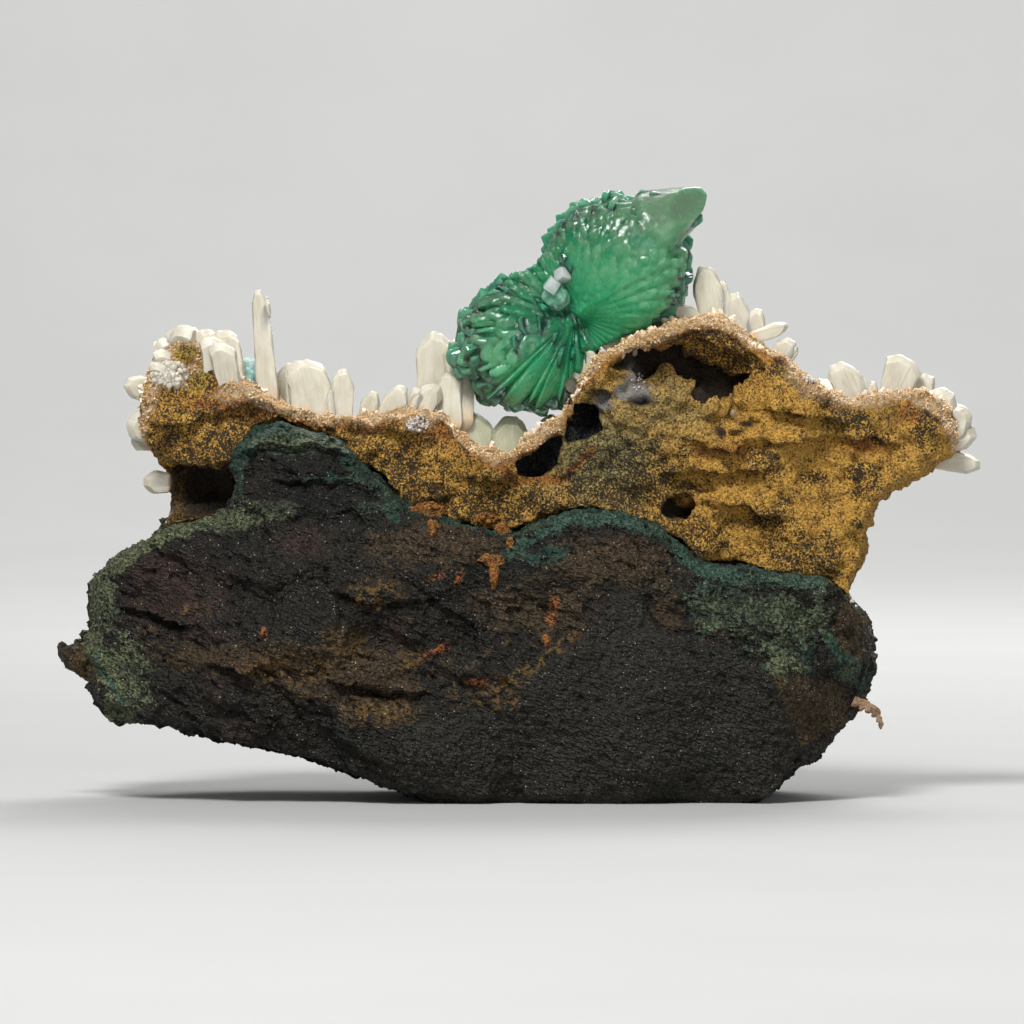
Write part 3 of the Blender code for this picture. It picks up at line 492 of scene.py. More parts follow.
def apophyllite_finish(name, milky):
    f = Finish(name)
    grain = f.mark_place("grain")
    veil = f.noise(1, 4, 0.6, f.stretched((0.9, 0.9, 2.2), grain))
    fleck = f.noise(1, 3, 0.6, f.stretched((0.35, 0.35, 0.8), grain))
    reach = f.sum("ADD", f.mark("reach"), f.between(veil, 0.3, 0.7, -0.08, 0.08))
    reach = f.sum("ADD", reach, f.between(f.mark("tone"), 0, 1, -0.14, 0.16))
    core, middle, light, tip = (
        ((0.0, 0.14, 0.050), (0.002, 0.112, 0.046), (0.014, 0.135, 0.062), (0.11, 0.175, 0.105)) if milky
        else ((0.01, 0.22, 0.10), (0.02, 0.24, 0.12), (0.06, 0.30, 0.17), (0.19, 0.38, 0.25))
    )
    green = f.mix(f.between(reach, 0.20, 0.48), core, middle)
    green = f.mix(f.between(reach, 0.50, 1.0), green, light)
    pale = f.sum("MULTIPLY", f.mark("edge"), f.between(reach, 0.35, 0.8, 0.1, 0.6))
    green = f.mix(pale, green, tip)
    green = f.mix(f.between(veil, 0.52, 0.75, 0, 0.30), green, f.mix(0.3, light, tip))
    if milky:
        # Painted light: faces that look down get a brighter, greener colour to offset the shading from the top light.
        green = f.mix(f.mark("below"), green, f.mix(f.between(reach, 0.3, 0.9), (0.03, 0.33, 0.14), (0.13, 0.42, 0.20)))
    f.set(Base_Color=green, IOR=1.535)
    f.set(Roughness=f.between(fleck, 0.3, 0.7, 0.12, 0.30) if milky else 0.06)
    f.set(Transmission_Weight=0.10 if milky else 0.42, Specular_IOR_Level=0.3 if milky else 0.4)
    f.set(Subsurface_Weight=1.0 if milky else 0.8, Subsurface_Scale=0.007 if milky else 0.003)
    f.shader.inputs["Subsurface Radius"].default_value = (0.5, 1.0, 0.8)
    facet = f.cells(1, place=f.stretched((0.8, 0.8, 1.2), grain))
    relief = f.sum("ADD", f.sum("MULTIPLY", veil, 0.6), f.sum("MULTIPLY", facet, 0.8))
    f.bump(f.sum("ADD", relief, f.sum("MULTIPLY", fleck, 0.35)), 0.38, 0.28)
    return f.material


def clear_finish(name, tones, clear, gloss=0.08):
    f = Finish(name)
    cloud = f.noise(0.8, 3)
    f.set(Base_Color=f.mix(f.between(cloud, 0.35, 0.65), *tones), Roughness=gloss, IOR=1.535)
    f.set(Transmission_Weight=clear, Subsurface_Weight=0.5)
    f.set(Subsurface_Scale=0.001)
    f.shader.inputs["Subsurface Radius"].default_value = (0.8, 1.0, 0.9)
    f.bump(cloud, 0.25, 0.1)
    return f.material


# ---- gathering small shapes -----------------------------------------------


class Stock:
    """A shape that is modelled once and then set many times."""

    def __init__(self, obj):
        self.points = points_of(obj)
        self.faces = [tuple(face.vertices) for face in obj.data.polygons]
        bpy.data.objects.remove(obj)


class Pile:
    """Many small shapes gathered into one mesh, with their marks."""

    def __init__(self):
        self.points, self.faces, self.kinds, self.marks = [], [], [], {}
        self.count = 0

    def add(self, stock, points, kind=0, **marks):
        self.faces += [tuple(v + self.count for v in face) for face in stock.faces]
        self.kinds += [kind] * len(stock.faces)
        self.points.append(points)
        self.count += len(points)
        for name, values in marks.items():
            self.marks.setdefault(name, []).append(values)

    def piece(self, name, materials):
        mesh = bpy.data.meshes.new(name)
        mesh.from_pydata(np.concatenate(self.points) * MM, [], self.faces)
        obj = new_object(name, mesh)
        for material in materials:
            mesh.materials.append(material)
        mesh.polygons.foreach_set("material_index", self.kinds)
        for key, values in self.marks.items():
            mark(obj, key, np.concatenate(values))
        mesh.update()
        return obj


def stock_block(cuts):
    """A block one unit wide, thick and high, its sides in an even grid."""
    nothing_selected()
    bpy.ops.mesh.primitive_cube_add(size=1, location=(0, 0, 0.5))
    obj = bpy.context.object
    bpy.ops.object.transform_apply(location=True)
    edit(obj)
    bpy.ops.mesh.subdivide(number_cuts=cuts)
    leave_edit()
    return Stock(obj)


def stock_ball(cuts):
    """A ball in an even grid: a gridded cube with its points drawn out to one radius."""
    nothing_selected()
    bpy.ops.mesh.primitive_cube_add(size=2)
    obj = bpy.context.object
    edit(obj)
    bpy.ops.mesh.subdivide(number_cuts=cuts)
    leave_edit()
    ball = Stock(obj)
    ball.points = np.tan(ball.points * math.pi / 4)
    ball.points /= np.linalg.norm(ball.points, axis=1, keepdims=True)
    return ball


def stock_plate(left, right, shoulder):
    """A flat blade of apophyllite with a low point cut by two slopes and a chisel end."""
    nothing_selected()
    bpy.ops.mesh.primitive_cube_add(size=1, location=(0, 0, 0.5))
    obj = bpy.context.object
    bpy.ops.object.transform_apply(location=True)
    cut_off(obj, (right, 0, 1.0), (1 - shoulder, 0, 0.5 - right))
    cut_off(obj, (-left, 0, 1.0), (shoulder - 1, 0, 0.5 - left))
    cut_off(obj, (0, 0.05, 1.0), (0, 0.08, 0.45))
    cut_off(obj, (0, -0.15, 1.0), (0, -0.06, 0.35))
    ring_at(obj, 0.5)
    edit(obj)
    bpy.ops.mesh.bevel(offset=0.03, segments=1, affect="EDGES", clamp_overlap=True)
    leave_edit()
    return Stock(obj)


def stock_clear_block():
    """A small blocky crystal with softened edges and one cut corner."""
    nothing_selected()
    bpy.ops.mesh.primitive_cube_add(size=1)
    obj = bpy.context.object
    cut_off(obj, (0.36, -0.36, 0.36), (1, -1, 1))
    edit(obj)
    bpy.ops.mesh.bevel(offset=0.05, segments=2, affect="EDGES", clamp_overlap=True)
    leave_edit()
    return Stock(obj)


def stock_sugar():
    """A small wedge-ended crystal of the druse, five-sided."""
    nothing_selected()
    bpy.ops.mesh.primitive_cone_add(vertices=5, radius1=0.5, radius2=0.26, depth=1, location=(0, 0, 0.3))
    obj = bpy.context.object
    bpy.ops.object.transform_apply(location=True)
    cut_off(obj, (0.05, 0, 0.78), (0.6, 0.1, 0.7))
    return Stock(obj)


# ---- the stones -----------------------------------------------------------


def stone_from(node, name, voxel, rounds):
    """A merged copy of a node in small even faces, its broad facets softened."""
    obj = new_object(name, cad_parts[node].data.copy())
    obj.data.materials.clear()
    edit(obj)
    bpy.ops.mesh.remove_doubles(threshold=0.000001)
    leave_edit()
    remesh = obj.modifiers.new("even faces", "REMESH")
    remesh.mode = "VOXEL"
    remesh.voxel_size = voxel * MM
    soften = obj.modifiers.new("soften", "SMOOTH")
    soften.factor = 0.6
    soften.iterations = rounds
    apply_modifiers(obj)
    return obj


def evened(obj, points, share, rounds):
    """Points eased towards their neighbours, as far as the share says for each."""
    edges = np.empty(len(obj.data.edges) * 2, np.int32)
    obj.data.edges.foreach_get("vertices", edges)
    near, far = edges.reshape(-1, 2).T
    ends = np.concatenate([near, far])
    others = np.concatenate([far, near])
    count = np.bincount(ends, minlength=len(points))[:, None]
    for _ in range(rounds):
        total = np.stack([np.bincount(ends, points[others, axis], len(points)) for axis in range(3)], 1)
        points = points + 0.6 * share[:, None] * (total / count - points)
    return points


def thin_to(obj, triangles):
    reduce = obj.modifiers.new("fewer faces", "DECIMATE")
    reduce.ratio = min(1.0, triangles / (2 * len(obj.data.polygons)))
    apply_modifiers(obj)


HUMP_RIM = [(236, 490), (238, 470), (242, 450), (256, 438), (276, 432), (302, 428), (330, 436), (350, 446), (355, 462)]
HUMP_SLOPE = [(355, 462), (372, 478), (392, 492), (396, 512)]
LEFT_RIM = [
    (290, 510), (250, 514), (210, 521), (180, 528), (155, 536), (135, 553), (112, 568), (99, 582),
    (98, 600), (96, 620), (95, 640), (104, 662), (116, 685), (116, 706), (130, 716),
]
TEAL_RIM = [
    (510, 548), (535, 533), (565, 518), (610, 517), (635, 523), (660, 533), (677, 545), (686, 558),
    (700, 568), (735, 574), (772, 577), (816, 582),
]
RIGHT_RIM = [(816, 582), (816, 618), (828, 642), (847, 662), (860, 688), (870, 676)]


GREAT_FACET = [
    (400, 722), (482, 704), (540, 660), (582, 632), (610, 592), (635, 589), (657, 625), (685, 632),
    (722, 642), (767, 670), (797, 745), (757, 806), (400, 806),
]
BROWN_FACET = [(767, 668), (800, 672), (835, 680), (852, 700), (840, 722), (797, 745)]
SLAB = [(280, 590), (308, 574), (338, 584), (342, 618), (326, 646), (292, 650), (270, 624)]


def most(points, spots, **settings):
    """The strongest of several blots at each point."""
    share = np.zeros(len(points))
    for spot in spots:
        share = np.maximum(share, blot(points, *spot, **settings))
    return share


def basalt_marks(obj, points, normals):
    """The skin, stains and spots of the basalt, as seen from the front and all round."""
    facing = smooth_step(-normals[:, 1], -0.35, 0.15)
    behind = 1 - smooth_step(-normals[:, 1], -0.1, 0.45)
    green = np.maximum(band(points, HUMP_RIM, 11), band(points, TEAL_RIM, 6))
    green = np.maximum(green, 0.8 * band(points, HUMP_SLOPE, 7))
    green = np.maximum(green, band(points, LEFT_RIM, 8))
    green = np.maximum(green, band(points, RIGHT_RIM, 5))
    green = np.maximum(green, 0.8 * most(points, [
        (725, 602, 44, 30), (778, 618, 40, 34), (784, 650, 26, 20), (128, 672, 24, 36),
        (300, 445, 48, 10), (848, 668, 16, 16), (108, 600, 12, 30), (697, 538, 22, 14),
        (540, 552, 34, 8), (262, 504, 26, 6), (345, 478, 44, 6), (376, 504, 20, 7),
    ], soft=0.6))
    green = green * facing
    skin = smooth_step(normals[:, 2] + 0.35 * rough(points / 6, 3, seed=5), 0.35, 0.75)
    green = np.maximum(green, 0.9 * skin * behind)
    pale = np.maximum(band(points, LEFT_RIM, 20), blot(points, 780, 660, 20, 16))
    pale = np.maximum(pale, blot(points, 134, 668, 40, 40))
    pale = np.maximum(pale, 0.7 * blot(points, 760, 616, 74, 34))
    pale = np.maximum(pale, 0.75 * blot(points, 300, 445, 44, 8))
    pale = np.maximum(pale, 0.5 * smooth_step(rough(points / 4, 3, seed=8), 0.1, 0.7))
    teal = 0.8 * band(points, [(101, 652), (106, 668), (116, 684), (124, 700)], 3.2, 0.3)
    teal = np.maximum(teal, 0.75 * band(points, TEAL_RIM, 5) * facing)
    brown = 0.95 * most(points, [
        (660, 612, 26, 18), (288, 660, 60, 24), (380, 690, 50, 34), (440, 545, 74, 26),
        (848, 630, 20, 40), (85, 665, 20, 24), (610, 562, 80, 26), (205, 655, 60, 18),
        (540, 600, 60, 34), (345, 668, 80, 40),
    ], soft=0.7)
    facet = within(points, GREAT_FACET, 3)
    brown = np.maximum(brown * facing * (1 - facet), within(points, BROWN_FACET, 3))
    brown = np.maximum(brown, 0.6 * smooth_step(rough(points / 7, 4, seed=21), 0.35, 0.8) * (1 - facet))
    gold = band(points, [(577, 628), (540, 655), (487, 698)], 6, 0.6)
    gold = np.maximum(gold, most(points, [
        (378, 589, 24, 13), (288, 664, 42, 14), (380, 704, 30, 15), (412, 653, 14, 9),
        (85, 665, 18, 20), (196, 606, 14, 6), (500, 690, 18, 16), (862, 622, 8, 18), (345, 640, 20, 16),
    ], soft=0.6))
    red = most(points, [(182, 588, 50, 38), (303, 537, 24, 16), (196, 630, 42, 12), (800, 690, 20, 10)], soft=0.7)
    red = np.maximum(red * facing, 0.6 * smooth_step(rough(points / 9, 3, seed=33), 0.4, 0.9))
    rust = most(points, [
        (437, 573, 9, 3, 12), (460, 574, 3, 8, -20), (438, 645, 10, 3, 15), (545, 635, 4, 5),
        (551, 612, 3, 7), (479, 676, 9, 4), (267, 627, 3, 4), (554, 598, 4, 6),
    ], soft=0.3, wobble=0.6)
    for name, value in (("green", green), ("pale", pale), ("teal", teal), ("brown", brown),
                        ("gold", gold * facing), ("red", red), ("rust", rust * facing),
                        ("facet", facet * facing)):
        mark(obj, name, value)


def make_basalt():
    obj = stone_from("basalt_matrix", "basalt_rock", 0.45, 8)
    points, normals = points_of(obj) / MM, normals_of(obj)
    calm = within(points, GREAT_FACET, 12) * smooth_step(-normals[:, 1], 0.3, 0.7)
    calm = calm * smooth_step(points[:, 2], 1.5, 4.0)
    put_points(obj, evened(obj, points, calm, 160) * MM)
    points, normals = points_of(obj) / MM, normals_of(obj)
    basalt_marks(obj, points, normals)
    dip = math.radians(24)
    along = points[:, 0] * math.cos(dip) - points[:, 2] * math.sin(dip)
    across = points[:, 0] * math.sin(dip) + points[:, 2] * math.cos(dip)
    laid = np.stack([along / 2.3, points[:, 1] / 1.3, across], 1)
    laid = laid + 0.5 * np.stack([rough(points / 4, 2, seed=s) for s in (40, 41, 42)], 1)
    wall = smooth_step(-normals[:, 1], 0.1, 0.6)
    flats = within(points, GREAT_FACET, 3)
    calm = 1 - 0.75 * wall * np.maximum(flats, np.maximum(within(points, SLAB), within(points, BROWN_FACET)))
    flats = flats * smooth_step(points[:, 0], front(430, 0)[0], front(560, 0)[0])
    out = (0.40 * rough(points / 9, 3, seed=1) + 0.62 * chips(laid / 3.0, 2)) * calm
    out += 0.42 * chips(laid / 1.3, 4) * (0.4 + 0.6 * calm) + 0.26 * chips(points / 0.85, 9)
    out += 0.14 * rough(points / 1.0, 3, seed=6)
    out += wall * ledge(points, [(120, 606), (170, 616), (200, 626)], 0.9, 3, 1.5)
    out += wall * ledge(points, [(205, 662), (260, 664), (300, 672)], 1.0, 3, 1.5)
    out += wall * ledge(points, [(330, 672), (370, 684), (430, 690)], 1.1, 3, 1.8)
    out += wall * ledge(points, [(330, 592), (380, 600), (440, 596)], 0.8, 3, 1.5)
    out += wall * ledge(points, [(240, 452), (300, 446), (350, 456)], 1.0, 2, 2.2)
    out += wall * ledge(points, [(270, 482), (320, 478), (390, 488)], 0.8, 2, 1.5)
    for spot in ((288, 666, 22, 4, -4), (372, 686, 20, 5, -6), (166, 620, 20, 3, -12), (392, 600, 16, 5, -5)):
        out -= 1.2 * wall * blot(points, *spot)
    # Painted shade: the low mark, which darkens the colour, is set in the recesses of the relief and over the shaded
    # hump.
    low = smooth_step(-out, 0.10, 0.75)
    shadowed = most(points, [(298, 464, 54, 12), (305, 500, 66, 22), (236, 500, 10, 14)], soft=0.5)
    mark(obj, "low", np.maximum(low, shadowed * wall))
    out += wall * (0.75 * flats + 0.5 * within(points, SLAB, 1.5))
    standing = smooth_step(points[:, 2], 0.3, 1.6)
    points = points + normals * (out * standing)[:, None]
    points[:, 2] = np.maximum(points[:, 2], 0)
    put_points(obj, points * MM)
    thin_to(obj, 190000)
    obj.data.materials.append(basalt_finish())
    soft_shaded(obj, 26)
    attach(obj, "root")
    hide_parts("basalt_matrix")
    return obj


CREST = [
    (146, 470), (140, 430), (152, 398), (160, 362), (176, 338), (204, 350), (222, 372), (250, 394),
    (290, 408), (330, 418), (372, 420), (410, 410), (440, 404), (452, 420), (466, 440), (494, 458),
    (530, 444), (556, 424), (562, 402), (580, 378), (606, 352), (640, 344), (682, 324), (716, 322),
    (748, 334), (790, 358), (816, 384), (836, 400), (870, 402), (912, 394), (942, 414), (956, 440),
    (960, 462), (940, 474),
]


DEEP_HOLLOW = [
    (606, 366), (620, 359), (627, 350), (638, 348), (648, 350), (662, 349), (672, 344), (682, 350),
    (686, 359), (695, 362), (703, 366), (717, 368), (726, 374), (731, 377), (741, 374), (752, 374),
    (750, 383), (748, 392), (732, 399), (724, 405), (705, 404), (693, 397), (691, 390), (697, 381),
    (694, 374), (682, 377), (677, 374), (673, 366), (665, 368), (658, 373), (648, 377), (643, 374),
    (631, 370), (620, 371), (610, 369),
]
INNER_WALL = [(672, 342), (688, 332), (706, 328), (722, 330), (738, 342), (760, 362), (766, 374), (700, 372)]
RAGGED_HOLE = [
    (663, 508), (670, 499), (676, 502), (680, 506), (688, 505), (691, 512), (686, 518), (678, 517),
    (670, 520), (663, 514),
]
BLACK_HOLLOWS = [
    [(516, 464), (526, 459), (534, 454), (545, 443), (552, 438), (561, 436), (563, 443), (558, 457),
     (555, 469), (546, 473), (533, 477), (522, 476), (517, 471)],
    [(567, 414), (572, 408), (583, 405), (593, 405), (597, 411), (597, 417), (601, 430), (590, 436),
     (577, 441), (569, 445), (565, 438), (569, 426)],
]
LEFT_CAVE = [
    (177, 480), (186, 466), (202, 463), (220, 466), (236, 472), (245, 486), (246, 512), (222, 518),
    (190, 521), (178, 508),
]


def crust_marks(obj, points, normals):
    """Where the crust is ochre, straw, orange, speckled or lined with druse, and where shade is painted into its
    hollows.
    """
    front_side = smooth_step(-normals[:, 1] - 0.35 * normals[:, 2], -0.30, 0.05)
    crest = band(points, CREST, 6, wobble=0.3, soft=0.4)
    cave = np.zeros(len(points))
    for spot in ((696, 380, 64, 26), (205, 492, 42, 34), (585, 422, 24, 20), (540, 460, 26, 17),
                 (612, 388, 22, 18), (677, 509, 16, 14), (745, 428, 20, 14)):
        cave = np.maximum(cave, blot(points, *spot, soft=0.1, wobble=0))
    cave *= 1 - smooth_step(points[:, 1], 4.0, 6.5)
    cave *= 1 - smooth_step(normals[:, 1], 0.1, 0.5) * smooth_step(points[:, 1], -1.0, 1.0)
    lining = np.maximum((1 - front_side) * (1 - cave), crest)
    for spot in ((172, 374, 19, 12, -20), (234, 392, 20, 7, 12), (754, 339, 15, 8, -20), (809, 379, 24, 13, -45), (418, 424, 12, 9),
                 (186, 346, 32, 22)):
        lining = np.maximum(lining, blot(points, *spot))
    patch = np.maximum(blot(points, 186, 354, 15, 10, soft=0.25), blot(points, 204, 380, 8, 14, -35, soft=0.3))
    lining = lining * (1 - patch)
    inner = band(points, [(500, 466), (515, 481), (540, 479), (560, 481), (578, 466), (592, 450)], 4, 0.2)
    speck = np.full(len(points), 0.21)
    speck += 0.40 * (1 - smooth_step(points[:, 0], front(420, 0)[0], front(560, 0)[0]))
    for spot in ((620, 485, 80, 46), (500, 500, 66, 22), (235, 448, 70, 26), (380, 470, 60, 26),
                 (690, 540, 34, 22), (760, 455, 20, 12), (868, 478, 22, 12), (850, 415, 24, 18),
                 (925, 420, 16, 30), (430, 495, 40, 20), (800, 560, 40, 30), (560, 505, 70, 14),
                 (770, 520, 36, 14), (700, 345, 32, 16)):
        speck = np.maximum(speck, 0.9 * blot(points, *spot, soft=0.8))
    speck = np.maximum(speck, 0.95 * band(points, [(775, 366), (815, 388), (850, 422), (880, 436)], 9))
    speck = np.maximum(speck, 0.8 * within(points, INNER_WALL, 4))
    small = most(points, [
        (630, 450, 14, 9), (768, 455, 9, 7), (772, 470, 10, 6), (815, 478, 12, 7), (866, 474, 14, 10),
        (858, 492, 10, 7), (740, 505, 8, 5), (786, 502, 9, 4), (857, 524, 6, 5), (852, 535, 6, 4),
        (768, 545, 7, 5), (826, 552, 8, 6), (834, 570, 8, 7), (724, 542, 9, 7), (930, 420, 6, 12),
        (645, 540, 10, 8), (655, 560, 8, 6), (200, 452, 26, 10), (170, 440, 12, 8), (226, 438, 18, 8),
    ], soft=0.8)
    speck = np.maximum(speck, small)
    straw = np.maximum(blot(points, 600, 452, 56, 50, soft=0.8), 0.7 * blot(points, 660, 405, 50, 36, soft=0.8))
    orange = np.zeros(len(points))
    for spot in ((864, 446, 22, 9), (722, 449, 28, 8), (905, 415, 18, 8), (270, 402, 60, 10, -12),
                 (450, 425, 34, 20), (431, 520, 12, 12), (300, 415, 60, 8), (214, 404, 34, 8)):
        orange = np.maximum(orange, blot(points, *spot, soft=0.7))
    under = [(across, down + 9) for across, down in CREST]
    orange = np.maximum(np.maximum(orange, inner), 0.75 * band(points, under, 5, wobble=0.5))
    yellow = np.maximum(blot(points, 185, 350, 16, 10), blot(points, 200, 378, 10, 16))
    yellow = np.maximum(yellow, 0.6 * blot(points, 870, 412, 34, 10, soft=0.7))
    # Painted shade: darker colour in the hollows, the caves and the cracks under the ledges' lips.
    painted_hollow_shade = np.zeros(len(points))
    for spot in ((745, 424, 6, 3), (738, 432, 10, 2.5), (640, 398, 12, 6), (719, 433, 4, 4)):
        painted_hollow_shade = np.maximum(painted_hollow_shade, blot(points, *spot, soft=0.3, wobble=0.5))
    for hollow, soft in ((DEEP_HOLLOW, 1), (RAGGED_HOLE, 1), (LEFT_CAVE, 9)):
        painted_hollow_shade = np.maximum(painted_hollow_shade, within(points, hollow, soft))
    painted_hollow_shade = np.maximum(painted_hollow_shade, 0.75 * within(points, [(168, 470), (246, 462), (250, 522), (166, 524)], 5))
    black = 0.9 * most(points, [(600, 396, 9, 7), (640, 400, 8, 5)], soft=0.3)
    for hollow in BLACK_HOLLOWS:
        black = np.maximum(black, within(points, hollow, 1))
    mark(obj, "black", black)
    quartz = most(points, [(637, 384, 11, 13), (620, 392, 8, 6), (604, 406, 10, 5), (418, 424, 10, 7)], soft=0.7, wobble=0.6)
    mark(obj, "lining", np.clip(lining, 0, 1))
    mark(obj, "peach", np.maximum(crest, front_side))
    mark(obj, "speck", speck)
    mark(obj, "straw", straw)
    mark(obj, "orange", orange)
    mark(obj, "yellow", yellow)
    mark(obj, "painted_hollow_shade", painted_hollow_shade)
    mark(obj, "quartz", quartz)


def make_crust():
    obj = stone_from("zeolite_crust", "ochre_crust", 0.46, 5)
    points, normals = points_of(obj) / MM, normals_of(obj)
    crust_marks(obj, points, normals)
    wall = smooth_step(-normals[:, 1], 0.0, 0.5)
    near, _, dice = grains(points / 1.9, 50)
    out = 0.7 * rough(points / 4.5, 4, seed=51) + 1.1 * (0.55 - near) * (0.4 + dice[:, 0])
    near, _, dice = grains(points / 0.95, 55)
    out += 0.60 * (0.5 - near) * (0.3 + 1.2 * dice[:, 1])
    # Painted shade: more black speck in the pits between the grains and less on their tops, on top of the crust's own
    # specks.
    mark(obj, "speck", np.clip(marks_of(obj, "speck") + 0.7 * smooth_step(near, 0.35, 0.8) - 0.25, 0, 1))
    shiny = marks_of(obj, "black")
    near, _, _ = grains(points / 1.7, 58)
    out = out * (1 - shiny) + shiny * (2.2 * (0.5 - near) - 1.9)
    out -= wall * (2.6 * within(points, DEEP_HOLLOW, 1) + 2.4 * within(points, RAGGED_HOLE, 1))
    out -= wall * 0.8 * within(points, INNER_WALL, 3)
    out += wall * ledge(points, [(700, 418), (735, 410), (770, 406), (800, 412), (850, 426)], 1.4, 4, 3)
    out += wall * ledge(points, [(690, 438), (730, 444), (790, 440), (840, 436), (882, 438), (900, 446)], 1.2, 4, 3)
    out += wall * ledge(points, [(660, 476), (690, 470), (728, 473), (770, 470)], 1.5, 4, 3)
    out += wall * ledge(points, [(700, 500), (750, 508), (790, 524)], 0.9, 4, 4)
    out += wall * ledge(points, [(150, 424), (200, 418), (260, 402), (300, 416), (350, 428), (420, 430)], 1.0, 3, 3)
    out += wall * ledge(points, [(160, 462), (210, 466), (240, 470)], 0.9, 3, 3)
    for spot in ((677, 508, 12, 9), (748, 424, 9, 4), (792, 412, 7, 3), (731, 435, 8, 3), (700, 488, 10, 3)):
        out -= 1.7 * wall * blot(points, *spot, soft=0.35, wobble=0.8)
    points = points + normals * out[:, None]
    edge = band(points, [(656, 382), (680, 376), (700, 396), (726, 406), (752, 388)], 9, 0.3)
    points[:, 2] += 1.5 * edge * rough(points / 1.6, 3, seed=59)
    put_points(obj, points * MM)
    thin_to(obj, 190000)
    obj.data.materials.append(crust_finish())
    only(obj)
    bpy.ops.object.shade_smooth()
    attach(obj, "root")
    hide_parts("zeolite_crust")
    return obj


def turned_to(normals, spin, tilt_a, tilt_b):
    """Three axes for each direction: two across it and the direction itself."""
    helper = np.where(np.abs(normals[:, 2:3]) > 0.9, (1.0, 0, 0), (0, 0, 1.0))
    side = np.cross(helper, normals)
    side /= np.linalg.norm(side, axis=1, keepdims=True)
    up = np.cross(normals, side)
    a = side * np.cos(spin)[:, None] + up * np.sin(spin)[:, None]
    b = np.cross(normals, a)
    lean = normals + a * tilt_a[:, None] + b * tilt_b[:, None]
    lean /= np.linalg.norm(lean, axis=1, keepdims=True)
    a = a - lean * (a * lean).sum(1, keepdims=True)
    a /= np.linalg.norm(a, axis=1, keepdims=True)
    return a, np.cross(lean, a), lean


def scatter(stock, places, axes, sizes, heights):
    """Sets a copy of the shape at every place, as one array of points and of faces."""
    a, b, c = axes
    shape = stock.points
    points = places[:, None, :] + sizes[:, None, None] * (
        shape[None, :, 0:1] * a[:, None, :] + shape[None, :, 1:2] * b[:, None, :]
        + heights[:, None, None] * shape[None, :, 2:3] * c[:, None, :]
    )
    faces = []
    step = len(shape)
    for number in range(len(places)):
        faces += [tuple(v + number * step for v in face) for face in stock.faces]
    return points.reshape(-1, 3), faces


def make_druse(crust, sugar, material):
    """The sugary crystals along the crest and over the crust's crystal side."""
    lining = marks_of(crust, "lining")
    rng = np.random.default_rng(3)
    mesh = crust.data
    mesh.calc_loop_triangles()
    tris = np.empty(len(mesh.loop_triangles) * 3, np.int32)
    mesh.loop_triangles.foreach_get("vertices", tris)
    tris = tris.reshape(-1, 3)
    points, normals = points_of(crust) / MM, normals_of(crust)
    corners = points[tris]
    area = np.linalg.norm(np.cross(corners[:, 1] - corners[:, 0], corners[:, 2] - corners[:, 0]), axis=1)
    cover = lining[tris].mean(1)
    crest = band(points, CREST, 6.5, wobble=0.2)[tris].mean(1)
    forward = smooth_step(-normals[tris].mean(1)[:, 1], -0.3, 0.1)
    weight = area * smooth_step(cover, 0.35, 0.7) * (0.5 + 4.5 * np.maximum(crest, forward))
    picked = rng.choice(len(tris), 12500, p=weight / weight.sum())
    share = rng.random((len(picked), 2))
    flip = share.sum(1) > 1
    share[flip] = 1 - share[flip]
    at = corners[picked]
    places = at[:, 0] + share[:, :1] * (at[:, 1] - at[:, 0]) + share[:, 1:] * (at[:, 2] - at[:, 0])
    facing = normals[tris[picked]].mean(1)
    facing /= np.linalg.norm(facing, axis=1, keepdims=True)
    count = len(picked)
    axes = turned_to(facing, rng.uniform(0, 6.28, count), rng.normal(0, 0.35, count), rng.normal(0, 0.35, count))
    near_crest = np.maximum(crest, forward)[picked]
    sizes = rng.uniform(0.6, 1.15, count) * (1.5 - 1.15 * near_crest)
    heights = rng.uniform(0.4, 1.1, count)
    peach = np.clip(near_crest + rng.normal(0, 0.10, count), 0, 1)
    for name, part in (("rim_druse", places[:, 1] < 0), ("far_druse", places[:, 1] >= 0)):
        made, faces = scatter(sugar, places[part], [axis[part] for axis in axes], sizes[part], heights[part])
        mesh = bpy.data.meshes.new(name)
        mesh.from_pydata(made * MM, [], faces)
        obj = new_object(name, mesh)
        mark(obj, "peach", np.repeat(peach[part], len(sugar.points)))
        mesh.materials.append(material)
        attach(obj, "root")


def surface_of(*objects):
    """What a line of sight from the front meets first on these pieces."""
    trees = []
    for obj in objects:
        mesh = obj.data
        trees.append(BVHTree.FromPolygons([v.co for v in mesh.vertices], [tuple(q.vertices) for q in mesh.polygons]))

    def meet(across, down):
        x, z = front(across, down)
        hits = [tree.ray_cast(Vector((x, -80, z)) * MM, Vector((0, 1, 0))) for tree in trees]
        met = [hit for hit in hits if hit[0]]
        if not met:
            return None
        place, normal, _, _ = min(met, key=lambda hit: hit[0].y)
        return np.array(place) / MM, np.array(normal)

    return meet


